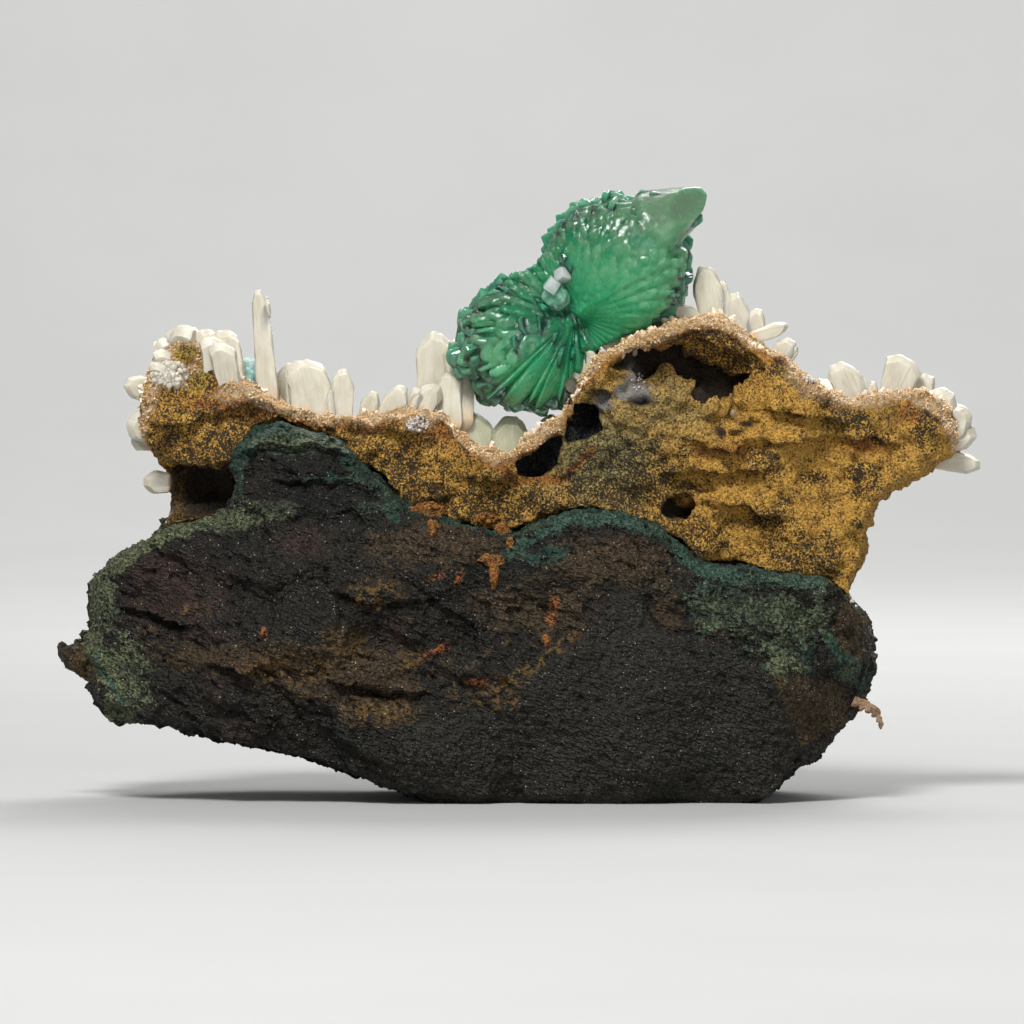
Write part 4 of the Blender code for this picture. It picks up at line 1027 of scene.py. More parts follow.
def make_quartz(meet, sugar, material):
    """Blocky grey-white crystals by the hollow, and a few on the crust's right edge."""
    rng = np.random.default_rng(9)
    places, facing, sizes = [], [], []
    for across, down, wide, high, count, size in (
        (638, 383, 7, 9, 16, 0.35), (852, 602, 4, 4, 10, 0.5), (418, 424, 11, 8, 70, 0.55), (811, 378, 9, 6, 40, 0.5),
    ):
        for _ in range(count):
            turn, far = rng.uniform(0, 6.28), rng.random() ** 0.6
            met = meet(across + wide * far * math.cos(turn), down + high * far * math.sin(turn))
            if not met:
                continue
            place, normal = met[0], met[1] + (0, -0.8, 0.4)
            places.append(place + 0.1 * normal)
            facing.append(normal / np.linalg.norm(normal))
            sizes.append(size * rng.uniform(0.6, 1.2))
    count = len(places)
    axes = turned_to(np.array(facing), rng.uniform(0, 6.28, count), rng.normal(0, 0.4, count), rng.normal(0, 0.4, count))
    made, faces = scatter(sugar, np.array(places), axes, np.array(sizes), rng.uniform(0.5, 1.0, count))
    mesh = bpy.data.meshes.new("quartz_patches")
    mesh.from_pydata(made * MM, [], faces)
    obj = new_object("quartz_patches", mesh)
    mesh.materials.append(material)
    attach(obj, "root")


def make_orange_crumbs(meet, ball, material):
    """Crumbs of orange crust on the basalt under the crust's foot."""
    pile = Pile()
    for across, down, wide, high, thick, drip in (
        (427, 511, 17, 8, 1.3, 12), (434, 524, 5, 7, 0.9, 2), (492, 557, 12, 6, 0.8, 4),
        (494, 572, 5, 10, 0.7, 3), (488, 519, 12, 6, 0.8, 2), (502, 531, 8, 7, 0.8, 3),
        (510, 539, 4, 5, 0.6, 1), (545, 634, 4, 5, 0.5, 0),
    ):
        middle, _ = meet(across, down)
        u, v, w = ball.points.T
        ragged = 1 + 0.30 * rough(ball.points * 2.2 + across, 3, seed=down)
        x = u * wide * FRONT_STEP * ragged * (1 + 0.45 * np.minimum(w, 0))
        z = w * high * FRONT_STEP * ragged - drip * FRONT_STEP * np.maximum(-w, 0) ** 2
        points = np.stack([x + middle[0], v * thick * ragged, z + middle[2]], 1)
        depth = np.array([
            (meet((px - FRONT_LEFT) / FRONT_STEP, (FRONT_TOP - pz) / FRONT_STEP) or (middle,))[0][1]
            for px, _, pz in points
        ])
        points[:, 1] += np.clip(depth, middle[1] - 1.5, middle[1] + 1.5)
        pile.add(ball, points, orange=np.ones(len(points)), speck=np.full(len(points), 0.42))
    obj = pile.piece("orange_crumbs", [material])
    soft_shaded(obj, 40)
    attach(obj, "root")


def make_flake(meet, material):
    """The thin curled flake that hangs from the basalt's lower right edge."""
    nothing_selected()
    bpy.ops.mesh.primitive_grid_add(x_subdivisions=10, y_subdivisions=30, size=1)
    obj = bpy.context.object
    obj.name = "curled_flake"
    spine = [(851, 698, 8), (858, 701, 9), (865, 704, 10), (871, 708, 9), (876, 714, 6), (879, 720, 4), (879, 727, 1.5)]
    root, _ = meet(846, 688)
    share, side = points_of(obj)[:, 1] + 0.5, points_of(obj)[:, 0] * 2
    steps = np.linspace(0, 1, len(spine))
    x, z = np.array([front(*place[:2]) for place in spine]).T
    half = np.interp(share, steps, [place[2] for place in spine]) * FRONT_STEP / 2
    half = half * (1 + 0.8 * swell(np.stack([share * 19, np.sign(side) * 3, side * 0], 1), 17))
    px, pz = np.interp(share, steps, x), np.interp(share, steps, z)
    along = np.stack([np.interp(share + 0.05, steps, x) - px, np.interp(share + 0.05, steps, z) - pz], 1)
    along /= np.maximum(np.linalg.norm(along, axis=1, keepdims=True), 1e-6)
    wave = 0.4 * rough(np.stack([share * 6, side, side * 0], 1), 2, seed=3)
    points = np.stack([px - along[:, 1] * half * side, root[1] + 0.8 * share + wave + 0.5 * side * side,
                       pz + along[:, 0] * half * side], 1)
    put_points(obj, points * MM)
    thick = obj.modifiers.new("thickness", "SOLIDIFY")
    thick.thickness, thick.offset = 0.25 * MM, 0
    round_off = obj.modifiers.new("soft edges", "SUBSURF")
    round_off.levels = round_off.render_levels = 1
    apply_modifiers(obj)
    obj.data.materials.append(material)
    count = len(obj.data.vertices)
    mark(obj, "orange", np.full(count, 0.9))
    mark(obj, "lining", np.full(count, 0.4))
    soft_shaded(obj, 40)
    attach(obj, "root")


# ---- stilbite -------------------------------------------------------------


class Blade:
    """One stilbite blade: its root, lean to the right, length, width and thickness."""

    def __init__(self, x, y, z, lean, length, width, thick, back=0.0, spin=0.0, peak=0.0,
                 drop=0.30, taper=0.84, fan=5.0, laths=5, root_depth=1.6):
        self.root = Vector((x, y, z))
        self.size = (width, thick, length)
        self.lean, self.back, self.spin = lean, back, spin
        self.peak, self.drop, self.taper, self.fan, self.laths = peak, drop, taper, fan, laths
        self.root_depth = root_depth


STILBITES = {
    "stilbite_left_low": [Blade(-53.3, -4.3, 47.2, -88, 3.9, 3.4, 2.4, laths=4, root_depth=0.5)],
    "stilbite_left_lump": [
        Blade(-55.9, -4.3, 55.0, -62, 3.8, 4.6, 3.4, laths=5),
        Blade(-56.3, -2.3, 53.2, -80, 2.8, 3.0, 3.0, laths=4),
    ],
    "stilbite_left_tip": [Blade(-55.7, -3.3, 60.6, -66, 4.6, 3.6, 2.8, laths=4)],
    "stilbite_knob_side": [Blade(-52.1, -1.3, 64.6, -32, 4.4, 5.0, 3.6)],
    "stilbite_knob_top": [Blade(-49.9, -0.8, 66.0, -4, 4.6, 4.4, 3.6)],
    "stilbite_twin": [
        Blade(-46.7, -1.3, 63.4, -10, 7.2, 3.6, 2.8, drop=0.16, laths=4),
        Blade(-43.7, -2.5, 62.0, -10, 8.5, 3.7, 3.0, drop=0.12, taper=1.1, laths=4),
    ],
    "stilbite_spike": [
        Blade(-38.3, -3.9, 60.2, -4.5, 16.2, 2.3, 2.0, drop=0.15, taper=1.45, fan=0, laths=3, peak=-0.1),
        Blade(-38.8, -4.1, 71.0, 6, 3.6, 1.7, 1.7, drop=0.4, taper=0.7, fan=0, laths=2),
    ],
    "stilbite_glassy": [Blade(-35.5, 2.7, 56.2, 4, 9.2, 3.6, 2.8, drop=0.15, laths=4)],
    "stilbite_broad": [
        Blade(-34.0, -1.9, 57.2, -3, 8.4, 3.0, 3.0, peak=0.6, drop=0.14, taper=1, fan=0, laths=4),
        Blade(-31.0, -2.9, 57.0, -13, 9.1, 5.2, 3.4, peak=-0.1, drop=0.12, taper=1.45, fan=0, laths=6),
    ],
    "stilbite_upright": [Blade(-26.9, -4.7, 56.6, -2, 7.8, 3.2, 2.4, drop=0.25, laths=4)],
    "stilbite_short": [Blade(-23.7, -1.7, 56.4, 16, 4.8, 2.8, 2.0, laths=3)],
    "stilbite_leaning": [Blade(-20.3, -4.5, 56.6, 26, 5.8, 4.0, 2.4, drop=0.4, laths=5)],
    "stilbite_rear": [Blade(-16.3, 1.7, 55.6, 4, 6.0, 2.8, 2.4, laths=4)],
    "stilbite_tall": [Blade(-13.7, 2.9, 55.4, 2, 14.8, 4.6, 3.6, drop=0.16, peak=0.2, taper=0.92, fan=2)],
    "stilbite_wedge": [Blade(-14.9, -3.7, 58.4, 30, 4.2, 3.4, 3.0, laths=4)],
    "stilbite_block": [
        Blade(-9.4, -0.9, 57.0, -3, 12.2, 4.2, 4.4, 12, 6, drop=0.14, taper=1, fan=0, root_depth=2.4),
        Blade(-10.6, -2.3, 55.9, -2, 8.4, 3.4, 3.4, 9, -9, drop=0.12, taper=1, fan=0, laths=5),
    ],
    "stilbite_valley_large": [
        Blade(-5.3, 0.2, 50.2, -20, 7.8, 5.0, 3.8),
        Blade(-1.9, -1.3, 50.2, 2, 7.2, 5.4, 3.8),
    ],
    "stilbite_valley_small": [Blade(3.3, 0.2, 51.8, 16, 5.8, 4.4, 3.2)],
    "stilbite_slope_fan": [
        Blade(10.7, -4.7, 63.4, -46, 5.2, 5.0, 2.8, fan=12, laths=7),
        Blade(9.3, -3.3, 61.6, -62, 4.2, 3.6, 2.6, laths=5),
    ],
    "stilbite_slope_blade": [Blade(14.7, -3.1, 67.6, -38, 5.8, 4.4, 2.8)],
    "stilbite_tongue": [
        Blade(29.1, -0.9, 70.8, -11, 9.4, 4.4, 2.6, drop=0.34, fan=5),
        Blade(27.7, -2.1, 70.4, -58, 6.2, 3.0, 2.4, laths=4),
    ],
    "stilbite_hill_fan": [
        Blade(33.1, -0.7, 68.2, -9, 7.8, 3.8, 2.6),
        Blade(34.5, -0.7, 68.8, 14, 4.8, 3.0, 2.4, laths=4),
        Blade(35.3, -2.1, 69.2, 72, 5.0, 2.2, 2.0, laths=3),
    ],
    "stilbite_hill_small": [Blade(38.7, -1.9, 65.6, 32, 3.8, 3.6, 2.4, laths=4)],
    "stilbite_right_striated": [Blade(50.7, -1.7, 58.2, -21, 7.8, 4.2, 3.0, peak=-0.2, drop=0.32, fan=10, laths=8)],
    "stilbite_right_spike": [Blade(52.6, -4.5, 59.0, 4, 3.6, 1.5, 1.5, laths=2)],
    "stilbite_right_wide": [Blade(55.5, -0.7, 58.6, 20, 8.0, 4.7, 3.2, peak=-0.1, drop=0.16, fan=9, laths=8)],
    "stilbite_right_back": [Blade(58.5, 1.7, 57.2, 28, 7.0, 4.0, 2.8)],
    "stilbite_end_upper": [Blade(61.6, -2.7, 56.8, 33, 5.2, 5.2, 3.6)],
    "stilbite_end_middle": [
        Blade(62.6, -2.3, 54.6, 54, 6.0, 5.2, 3.4),
        Blade(62.6, -1.7, 53.4, 74, 6.2, 4.4, 3.2),
    ],
    "stilbite_end_tongue": [Blade(62.9, -1.7, 50.4, 94, 6.4, 2.9, 2.6, laths=4)],
}


def standing(blade):
    return (
        Matrix.Translation(blade.root)
        @ Matrix.Rotation(math.radians(blade.lean), 4, "Y")
        @ Matrix.Rotation(math.radians(-blade.back), 4, "X")
        @ Matrix.Rotation(math.radians(blade.spin), 4, "Z")
    )


def placed(matrix, points):
    turn = np.array(matrix.to_3x3())
    return points @ turn.T + np.array(matrix.translation)


def add_blade(pile, block, blade, dice):
    """A blade as laths fused side by side: ridged faces and a stepped, chiselled top."""
    width, thick, length = blade.size
    a, b, c = 2 * block.points[:, 0], 2 * block.points[:, 1], block.points[:, 2]
    count = blade.laths
    slot = (a * 0.5 + 0.5) * count + 0.3 * np.sin(dice.uniform(0, 6) + 2 * b)
    lath = np.clip(np.floor(slot).astype(int) + 1, 0, count + 1)
    phase = np.abs(2 * (slot - np.floor(slot)) - 1)
    lower = np.array([dice.uniform(0, 0.035) for _ in range(count + 2)])[lath]
    proud = np.array([dice.uniform(-0.035, 0.025) for _ in range(count + 2)])[lath]
    away = np.maximum(np.abs(a - blade.peak) - 0.32, 0) / (0.68 + np.abs(blade.peak))
    slope = blade.drop * (0.95 * away + 0.25 * away ** 3)
    tall = length * (1 - slope - lower) - 0.05 * width * np.abs(b) - 0.05 * width / count * phase ** 2
    tall -= 0.38 * min(thick, width) * np.maximum(np.abs(b) - 0.25, 0)
    depth = blade.root_depth
    high = c * (tall + depth) - depth
    share = np.clip(high / length, 0, 1)
    seed = dice.randrange(900)
    ridge = swell(np.stack([a * count * 1.3, b, share * 1.2], 1) + seed, 70)
    y = b * thick / 2 * (1 - 0.12 * np.abs(a) ** 6 - 0.025 * phase ** 5 + 0.02 * ridge + proud)
    x = a * width / 2 * (1 - 0.06 * np.abs(b) ** 6)
    x += 0.05 * width * swell(np.stack([a, b * 2, high / 1.6], 1) + seed, 71)
    spread = blade.taper + (1 - blade.taper) * share ** 0.8
    bow = dice.uniform(-0.03, 0.03) * length * share ** 2
    rooted = np.sqrt(np.clip(1 - np.clip(-high / (depth + 0.01), 0, 1) ** 2, 0.1, 1))
    x = (x * spread + high * math.tan(math.radians(blade.fan)) * a * 0.5) * rooted + bow
    y = y * (0.5 + 0.5 * spread) * rooted
    local = np.stack([x, y, high], 1)
    shift = np.array([dice.uniform(0, 40) for _ in range(3)])
    root = 1 - smooth_step(high, -0.2, 0.10 * length + 0.3)
    pile.add(block, placed(standing(blade), local), grain=(local + shift) * MM, root=root,
             shade=np.zeros(len(local)))


def lesser(blade, dice):
    """A shorter blade grown into the side of another."""
    width, thick, length = blade.size
    side = dice.choice((-1, 1))
    x, y, z = blade.root
    return Blade(
        x + side * 0.44 * width * math.cos(math.radians(blade.lean)), y - 0.06 * thick, z,
        blade.lean + side * dice.uniform(2, 6), length * dice.uniform(0.5, 0.75), width * 0.42,
        thick * 0.8, blade.back + dice.uniform(0, 3), blade.spin + side * dice.uniform(4, 14),
        -0.3 * side, blade.drop, blade.taper, 2.0, 3, blade.root_depth,
    )


SHADED = {"stilbite_valley_large": 0.85, "stilbite_valley_small": 0.8, "stilbite_tongue": 0.12,
          "stilbite_slope_fan": 0.25, "stilbite_slope_blade": 0.3, "stilbite_block": 0.12}


def make_stilbites(block, tooth, material):
    dice = random.Random(5)
    for name, blades in STILBITES.items():
        pile = Pile()
        for blade in blades:
            add_blade(pile, block, blade, dice)
            if 3 < blade.size[0] < 4.6 and name != "stilbite_twin":
                add_blade(pile, block, lesser(blade, dice), dice)
        if name == "stilbite_spike":
            add_teeth(pile, tooth, blades[0], dice)
        if name in SHADED:
            pile.marks["shade"] = [np.full(len(v), SHADED[name]) for v in pile.marks["shade"]]
        obj = pile.piece(name + "_crystals", [material])
        soft_shaded(obj, 26)
        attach(obj, "root")
        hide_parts(name)


FAR_SHEAVES = [
    (-47, 50, 62, 6), (-34, 50, 40, -6), (-22, 48, 66, 12), (-9, 44, 34, -8),
    (5, 42, 62, 8), (18, 54, 30, -10), (33, 52, 40, 12), (46, 50, 64, -4),
    (58, 48, 50, 14), (-41, 36, 8, 14), (-25, 33, 12, -12), (-10, 29, 6, 8),
    (6, 34, 10, -14), (22, 36, 12, 4), (38, 38, 10, -8), (41, 22, 4, 12),
    (-31, 20, 6, 4), (23, 23, 8, -8), (1, 17, 4, 12),
]


KNOB_LUMPS = [
    (165, 357, 3.2, 1.2, 0), (167, 347, 3.6, 1.5, 0), (174, 340, 4.0, 1.6, 0), (183, 337, 4.2, 1.9, 0),
    (191, 336, 3.8, 2.4, 0), (199, 337, 4.0, 2.2, 0), (206, 344, 4.0, 2.0, 1), (217, 377, 4.4, 6.2, 1),
    (230, 384, 3.8, 6.4, 1), (209, 366, 3.6, 4.0, 1), (161, 368, 2.6, 1.1, 0),
]
KNOB_CRUMBS = (171, 373, 17, 11)


def make_knob_lumps(meet, block, material):
    """The lumpy white crystals that wrap round the ochre patch of the knob."""
    dice = random.Random(12)
    pile = Pile()
    crumbs = []
    for number in range(80):
        turn, far = number * 2.4, math.sqrt((number + 0.5) / 80)
        crumbs.append((KNOB_CRUMBS[0] + KNOB_CRUMBS[2] * far * math.cos(turn),
                       KNOB_CRUMBS[1] + KNOB_CRUMBS[3] * far * math.sin(turn),
                       dice.uniform(0.9, 1.6), dice.uniform(0.05, 0.5), 0))
    for across, down, width, length, upright in KNOB_LUMPS + crumbs:
        met = meet(across, down)
        if not met:
            continue
        x, y, z = (-0.15, -0.18, 1.0) if upright else met[1] * 0.9 + (0.1 * np.sign(across - 188), -0.15, 0.75)
        far = math.sqrt(x * x + y * y + z * z)
        lean, back = math.degrees(math.atan2(x, z)), math.degrees(math.asin(y / far))
        root = met[0] - 0.8 * np.array((x, y, z)) / far + (0, 1.6 * upright, 0)
        add_blade(pile, block, Blade(
            *root, lean + dice.uniform(-3, 3) * (4 - 3 * upright), length + 0.9, width, width * 0.7, back,
            dice.uniform(-30, 30) * (1 - 0.8 * upright), dice.uniform(-0.4, 0.4),
            drop=0.45 - 0.3 * upright, fan=0, laths=4, root_depth=1.0,
        ), dice)
        if width < 2:
            pile.marks["root"][-1] = np.maximum(pile.marks["root"][-1], 0.32)
    obj = pile.piece("knob_lumps", [material])
    soft_shaded(obj, 30)
    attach(obj, "root")


def add_teeth(pile, tooth, blade, dice):
    """Tiny crystals along both edges of a blade, which make them saw-toothed."""
    width, thick, length = blade.size
    rng = np.random.default_rng(6)
    for _ in range(70):
        share, side = dice.uniform(0.08, 0.93), dice.choice((-1, 1))
        half = width / 2 * (blade.taper + (1 - blade.taper) * share ** 0.8) * 0.80
        size = dice.uniform(0.22, 0.5)
        axes = turned_to(np.array([(side, dice.uniform(-0.8, 0.8), 0.3)]) / 1.2, rng.uniform(0, 6, 1),
                         rng.normal(0, 0.3, 1), rng.normal(0, 0.3, 1))
        place = np.array([(side * half, dice.uniform(-0.3, 0.3) * thick, share * length)])
        local, _ = scatter(tooth, place, axes, np.array([size]), np.array([1.2]))
        pile.add(tooth, placed(standing(blade), local), grain=local * MM, root=np.zeros(len(local)),
                 shade=np.zeros(len(local)))


def make_far_sheaves(block, material):
    """The sheaves of the side turned away, standing where their nodes stand."""
    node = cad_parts["zeolite_crust"]
    points = [v.co for v in node.data.vertices]
    surface = BVHTree.FromPolygons(points, [tuple(p.vertices) for p in node.data.polygons])
    dice = random.Random(7)
    chance = random.Random(8)
    for number, (x, z, rise, lean) in enumerate(FAR_SHEAVES):
        inward = Vector((0, -math.cos(math.radians(rise)), -math.sin(math.radians(rise))))
        start = Vector((x + 0.264, 4.723, z)) - 90 * inward
        point, normal, _, _ = surface.ray_cast(start * MM, inward)
        out = math.degrees(math.atan2(normal.y, normal.z)) * 0.85
        size = dice.uniform(0.8, 1.25)
        pile = Pile()
        for fan in (-1, 0, 1):
            spin, _ = dice.uniform(-25, 25), dice.uniform(0.3, 0.7)
            add_blade(pile, block, Blade(
                point.x / MM + fan * 1.1, point.y / MM + 0.4 * fan, point.z / MM,
                lean + fan * 16.0, 9.5 * size * (0.82 if fan else 1.0), 5.0 * size, 3.2 * size,
                out + 7 * fan, spin,
            ), chance)
        name = f"stilbite_back_{number + 1:02d}"
        obj = pile.piece(name + "_crystals", [material])
        soft_shaded(obj, 26)
        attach(obj, "root")
        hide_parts(name)


# ---- apophyllite ----------------------------------------------------------


def reach_at(angles):
    """The fans' reach at angles from +X in degrees, read off their outline."""
    x, z = np.array([front(*place) for place in FAN_OUTLINE]).T
    x, z = x - FAN_CENTRE[0], z - FAN_CENTRE[2]
    known = np.degrees(np.arctan2(z, x))
    order = np.argsort(known)
    return np.interp(angles, known[order], np.hypot(x, z)[order], period=360)


def envelope(ways):
    """How far the double fan reaches in each direction."""
    rise = np.degrees(np.arcsin(np.clip(ways[:, 1], -1, 1)))
    angle = np.degrees(np.arctan2(ways[:, 2], ways[:, 0]))
    slope = np.clip((np.abs(rise) - 20) / 50, 0, 1)
    share = 1 - 0.6 * slope * slope * (3 - 2 * slope)
    pole = np.clip((np.abs(rise) - 60) / 30, 0, 1)
    turns = np.arange(-48, 49, 8)
    even = np.mean([reach_at(angle + turn) for turn in turns], 0)
    inner = smooth_step(np.abs(rise), 4, 34)
    reach = (reach_at(angle) * (1 - inner) + even * inner) * share
    return reach + (5.0 - reach) * pole


GREAT_CRYSTAL = [
    (630, 192), (645, 188), (700, 185), (709, 187), (707, 202), (693, 222), (689, 236), (670, 248),
    (652, 236), (640, 216),
]
GREAT_FACE, GREAT_FACE_OUT = np.array((0.526, -0.669, 0.526)), 20.9
RIGHT_FAN, LEFT_FAN = np.array((0.70, -0.16, 0.70)), np.array((-0.88, -0.42, -0.28))


def petals(axis, half_angle, count, rng, wide, thick, step):
    """Flat blades spread round an axis: their ways, two cross directions and sizes."""
    axis = axis / np.linalg.norm(axis)
    turn = np.arange(count) * 2.399963
    high = 1 - (np.arange(count) + 0.5) / count * (1 - math.cos(math.radians(half_angle)))
    flat = np.sqrt(1 - high * high)
    local = np.stack([flat * np.cos(turn), flat * np.sin(turn), high], 1)
    local += rng.normal(0, 0.03, local.shape)
    local /= np.linalg.norm(local, axis=1, keepdims=True)
    side = np.cross(axis, (0, 1.0, 0))
    side /= np.linalg.norm(side)
    ways = local @ np.stack([side, np.cross(axis, side), axis])
    inward = axis - ways * (ways @ axis)[:, None] + rng.normal(0, 0.08, ways.shape)
    inward -= ways * (inward * ways).sum(1, keepdims=True)
    inward /= np.linalg.norm(inward, axis=1, keepdims=True)
    far = envelope(ways)
    grow = 0.32 + 0.68 * far / 20
    return {
        "way": ways, "across": np.cross(inward, ways), "inward": inward, "far": far,
        "half": 0.5 * wide * grow * rng.uniform(0.6, 1.5, count),
        "deep": 0.5 * thick * grow * rng.uniform(0.7, 1.3, count),
        "reach": rng.uniform(*step, count), "tone": rng.random(count),
        "slope": rng.uniform(0.35, 0.9, count), "lean": rng.uniform(-0.5, 0.5, count),
    }


def fused(ways, fan, follow):
    """How far a fan's blades reach in each direction, and the tone of the outmost one."""
    hull = envelope(ways)
    best, tone, edge = np.zeros(len(ways)), np.zeros(len(ways)), np.zeros(len(ways))
    for start in range(0, len(ways), 8000):
        part = slice(start, start + 8000)
        row, blade = np.nonzero(ways[part] @ fan["way"].T > 0.968)
        look = ways[part][row]
        ahead = (look * fan["way"][blade]).sum(1)
        u = np.abs((look * fan["across"][blade]).sum(1))
        v = np.abs((look * fan["inward"][blade]).sum(1))
        off = (look * fan["across"][blade]).sum(1) / ahead * fan["far"][blade]
        off = np.abs(off - fan["lean"][blade] * fan["half"][blade])
        end = follow * hull[part][row] + (1 - follow) * fan["far"][blade] / ahead
        end = end * fan["reach"][blade] - fan["slope"][blade] * np.maximum(off - 0.25 * fan["half"][blade], 0)
        end -= 0.35 * v / ahead * fan["far"][blade]
        out = np.minimum(end, np.minimum(fan["half"][blade] / (u + 1e-6), fan["deep"][blade] / (v + 1e-6)))
        order = np.argsort(out)
        row, blade, out, end = row[order], blade[order], out[order], end[order]
        best[part][row] = out
        tone[part][row] = fan["tone"][blade]
        edge[part][row] = smooth_step(out / (end + 1e-6), 0.93, 1.0)
    return best, tone, edge


def add_petal(pile, stock, fan, number, long, wide, start, kind=0):
    """One clear blade that stands a little proud of the fused body."""
    shape = stock.points
    way, across, inward = fan["way"][number], fan["across"][number], fan["inward"][number]
    length = fan["far"][number] * fan["reach"][number] * long
    part = start + (1 - start) * shape[:, 2]
    grow = 0.3 + 0.7 * part ** 1.2
    x = shape[:, 0] * 2 * fan["half"][number] * wide * grow
    y = shape[:, 1] * 2 * fan["deep"][number] * wide * grow
    points = FAN_CENTRE + x[:, None] * across + y[:, None] * inward + (part * length)[:, None] * way
    local = np.stack([x, y, part * length], 1) + number * 1.7
    pile.add(stock, points, kind, grain=local * MM, reach=part * length / 22,
             tone=np.full(len(x), fan["tone"][number]), edge=shape[:, 2] ** 3)


def looks_down(obj, rounds):
    """How far each part of a piece looks down, evened over its neighbourhood."""
    edges = np.empty(len(obj.data.edges) * 2, np.int32)
    obj.data.edges.foreach_get("vertices", edges)
    one, other = edges.reshape(-1, 2).T
    up = normals_of(obj)[:, 2].astype(float)
    ties = 1.0 + np.bincount(edges, minlength=len(up))
    for _ in range(rounds):
        up = (up + np.bincount(one, up[other], len(up)) + np.bincount(other, up[one], len(up))) / ties
    return smooth_step(-up, -0.45, 0.55)


def blades_at(turns, rises, half, deep, rng):
    """A row of flat blades facing the viewer, by their angles round and out of the picture."""
    turn, rise = np.radians(turns), np.radians(rises)
    ways = np.stack([np.cos(turn) * np.cos(rise), np.sin(rise), np.sin(turn) * np.cos(rise)], 1)
    inward = (0.0, 1.0, 0.0) - ways * ways[:, 1:2]
    inward /= np.linalg.norm(inward, axis=1, keepdims=True)
    count = len(ways)
    return {"way": ways, "across": np.cross(inward, ways), "inward": inward, "far": envelope(ways),
            "half": half * rng.uniform(0.8, 1.25, count), "deep": np.full(count, deep),
            "reach": np.ones(count), "tone": rng.random(count)}


def make_fans(ball, plates, clear_block, materials):
    rng = np.random.default_rng(12)
    pile = Pile()
    ways = ball.points
    right = petals(RIGHT_FAN, 76, 1200, rng, 3.0, 1.0, (0.975, 1.0))
    left = petals(LEFT_FAN, 80, 900, rng, 3.6, 1.1, (0.93, 1.0))
    far_right, tone_right, edge_right = fused(ways, right, 0.97)
    far_left, tone_left, edge_left = fused(ways, left, 0.82)
    side = smooth_step(ways @ (RIGHT_FAN - LEFT_FAN), -0.25, 0.25)
    hull = envelope(ways)
    rise = np.abs(np.degrees(np.arcsin(np.clip(ways[:, 1], -1, 1))))
    rim = 1 - smooth_step(rise, 8, 17)
    front_face = smooth_step(rise, 14, 30) * side
    floor = hull * (0.915 + 0.055 * front_face + 0.010 * rough(ways * 12, 3, seed=60))
    far = np.maximum(np.maximum(far_right, far_left), floor)
    far = far * (1 - rim) + np.minimum(far, 0.94 * hull) * rim
    angle = np.degrees(np.arctan2(ways[:, 2], ways[:, 0])) % 360
    under = smooth_step(angle, 214, 224) * (1 - smooth_step(angle, 280, 294))
    under *= smooth_step(-ways[:, 1], 0.12, 0.25) * (1 - smooth_step(-ways[:, 1], 0.82, 0.94))
    place = (angle + 2.5 * np.sin(angle * 0.31)) / 8.5 % 1
    roof = np.minimum(place / 0.25, (1 - place) / 0.75)
    far = far * (1 - under) + hull * (0.90 + 0.085 * roof) * under
    flat = within(FAN_CENTRE + ways * far[:, None], GREAT_CRYSTAL, 1.2) * smooth_step(-ways[:, 1], -0.05, 0.02)
    plane = GREAT_FACE_OUT / np.maximum(ways @ GREAT_FACE, 0.4)
    far = far * (1 - flat) + np.minimum(plane, hull * 1.01) * flat
    tone = np.where(far_right > far_left, tone_right, tone_left)
    edge = np.where(far_right > far_left, edge_right, edge_left)
    edge = np.where(far > floor, edge, 0) * (1 - under) * (1 - flat) + 1.5 * flat
    tone = tone * (1 - flat) + 0.9 * flat
    points = FAN_CENTRE + ways * far[:, None]
    grain = np.stack([ways[:, 0] * 14, ways[:, 1] * 14, ways[:, 2] * 14], 1)
    pile.add(ball, points, 1, grain=grain * MM, reach=far / 22, tone=tone, edge=edge)
    for fan, share in ((right, 0.0), (left, 0.07)):
        rise, taken = np.abs(fan["way"][:, 1]), within(FAN_CENTRE + fan["way"] * fan["far"][:, None], GREAT_CRYSTAL, 1)
        for number in range(len(rise)):
            if rng.random() < (0.25 if rise[number] < 0.34 else share) and taken[number] < 0.5:
                stock = plates[rng.integers(len(plates))]
                add_petal(pile, stock, fan, number, rng.uniform(0.99, 1.02), 0.95, 0.6)
    for first, last, step, wide in ((-40, 128, 6.6, 1.9), (133, 302, 6.0, 1.6)):
        for lift in (-9, 4):
            turns = np.arange(first, last, step) + rng.uniform(-2, 2, len(np.arange(first, last, step)))
            rim_blades = blades_at(turns, np.full(len(turns), lift) + rng.uniform(-4, 4, len(turns)), wide, 0.6, rng)
            rim_blades["reach"] = rng.uniform(0.96, 1.0, len(turns))
            for number in np.flatnonzero(np.abs(turns - 44) > 8):
                add_petal(pile, plates[rng.integers(len(plates))], rim_blades, number, 1.0, 1.0, 0.55)
    add_fan_features(pile, clear_block)
    obj = pile.piece("apophyllite_double_fan", materials)
    # Painted light: the below mark brightens the colour of the down-facing faces.
    mark(obj, "below", looks_down(obj, 60))
    soft_shaded(obj, 34)
    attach(obj, "root")
    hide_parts("apophyllite_bowtie")


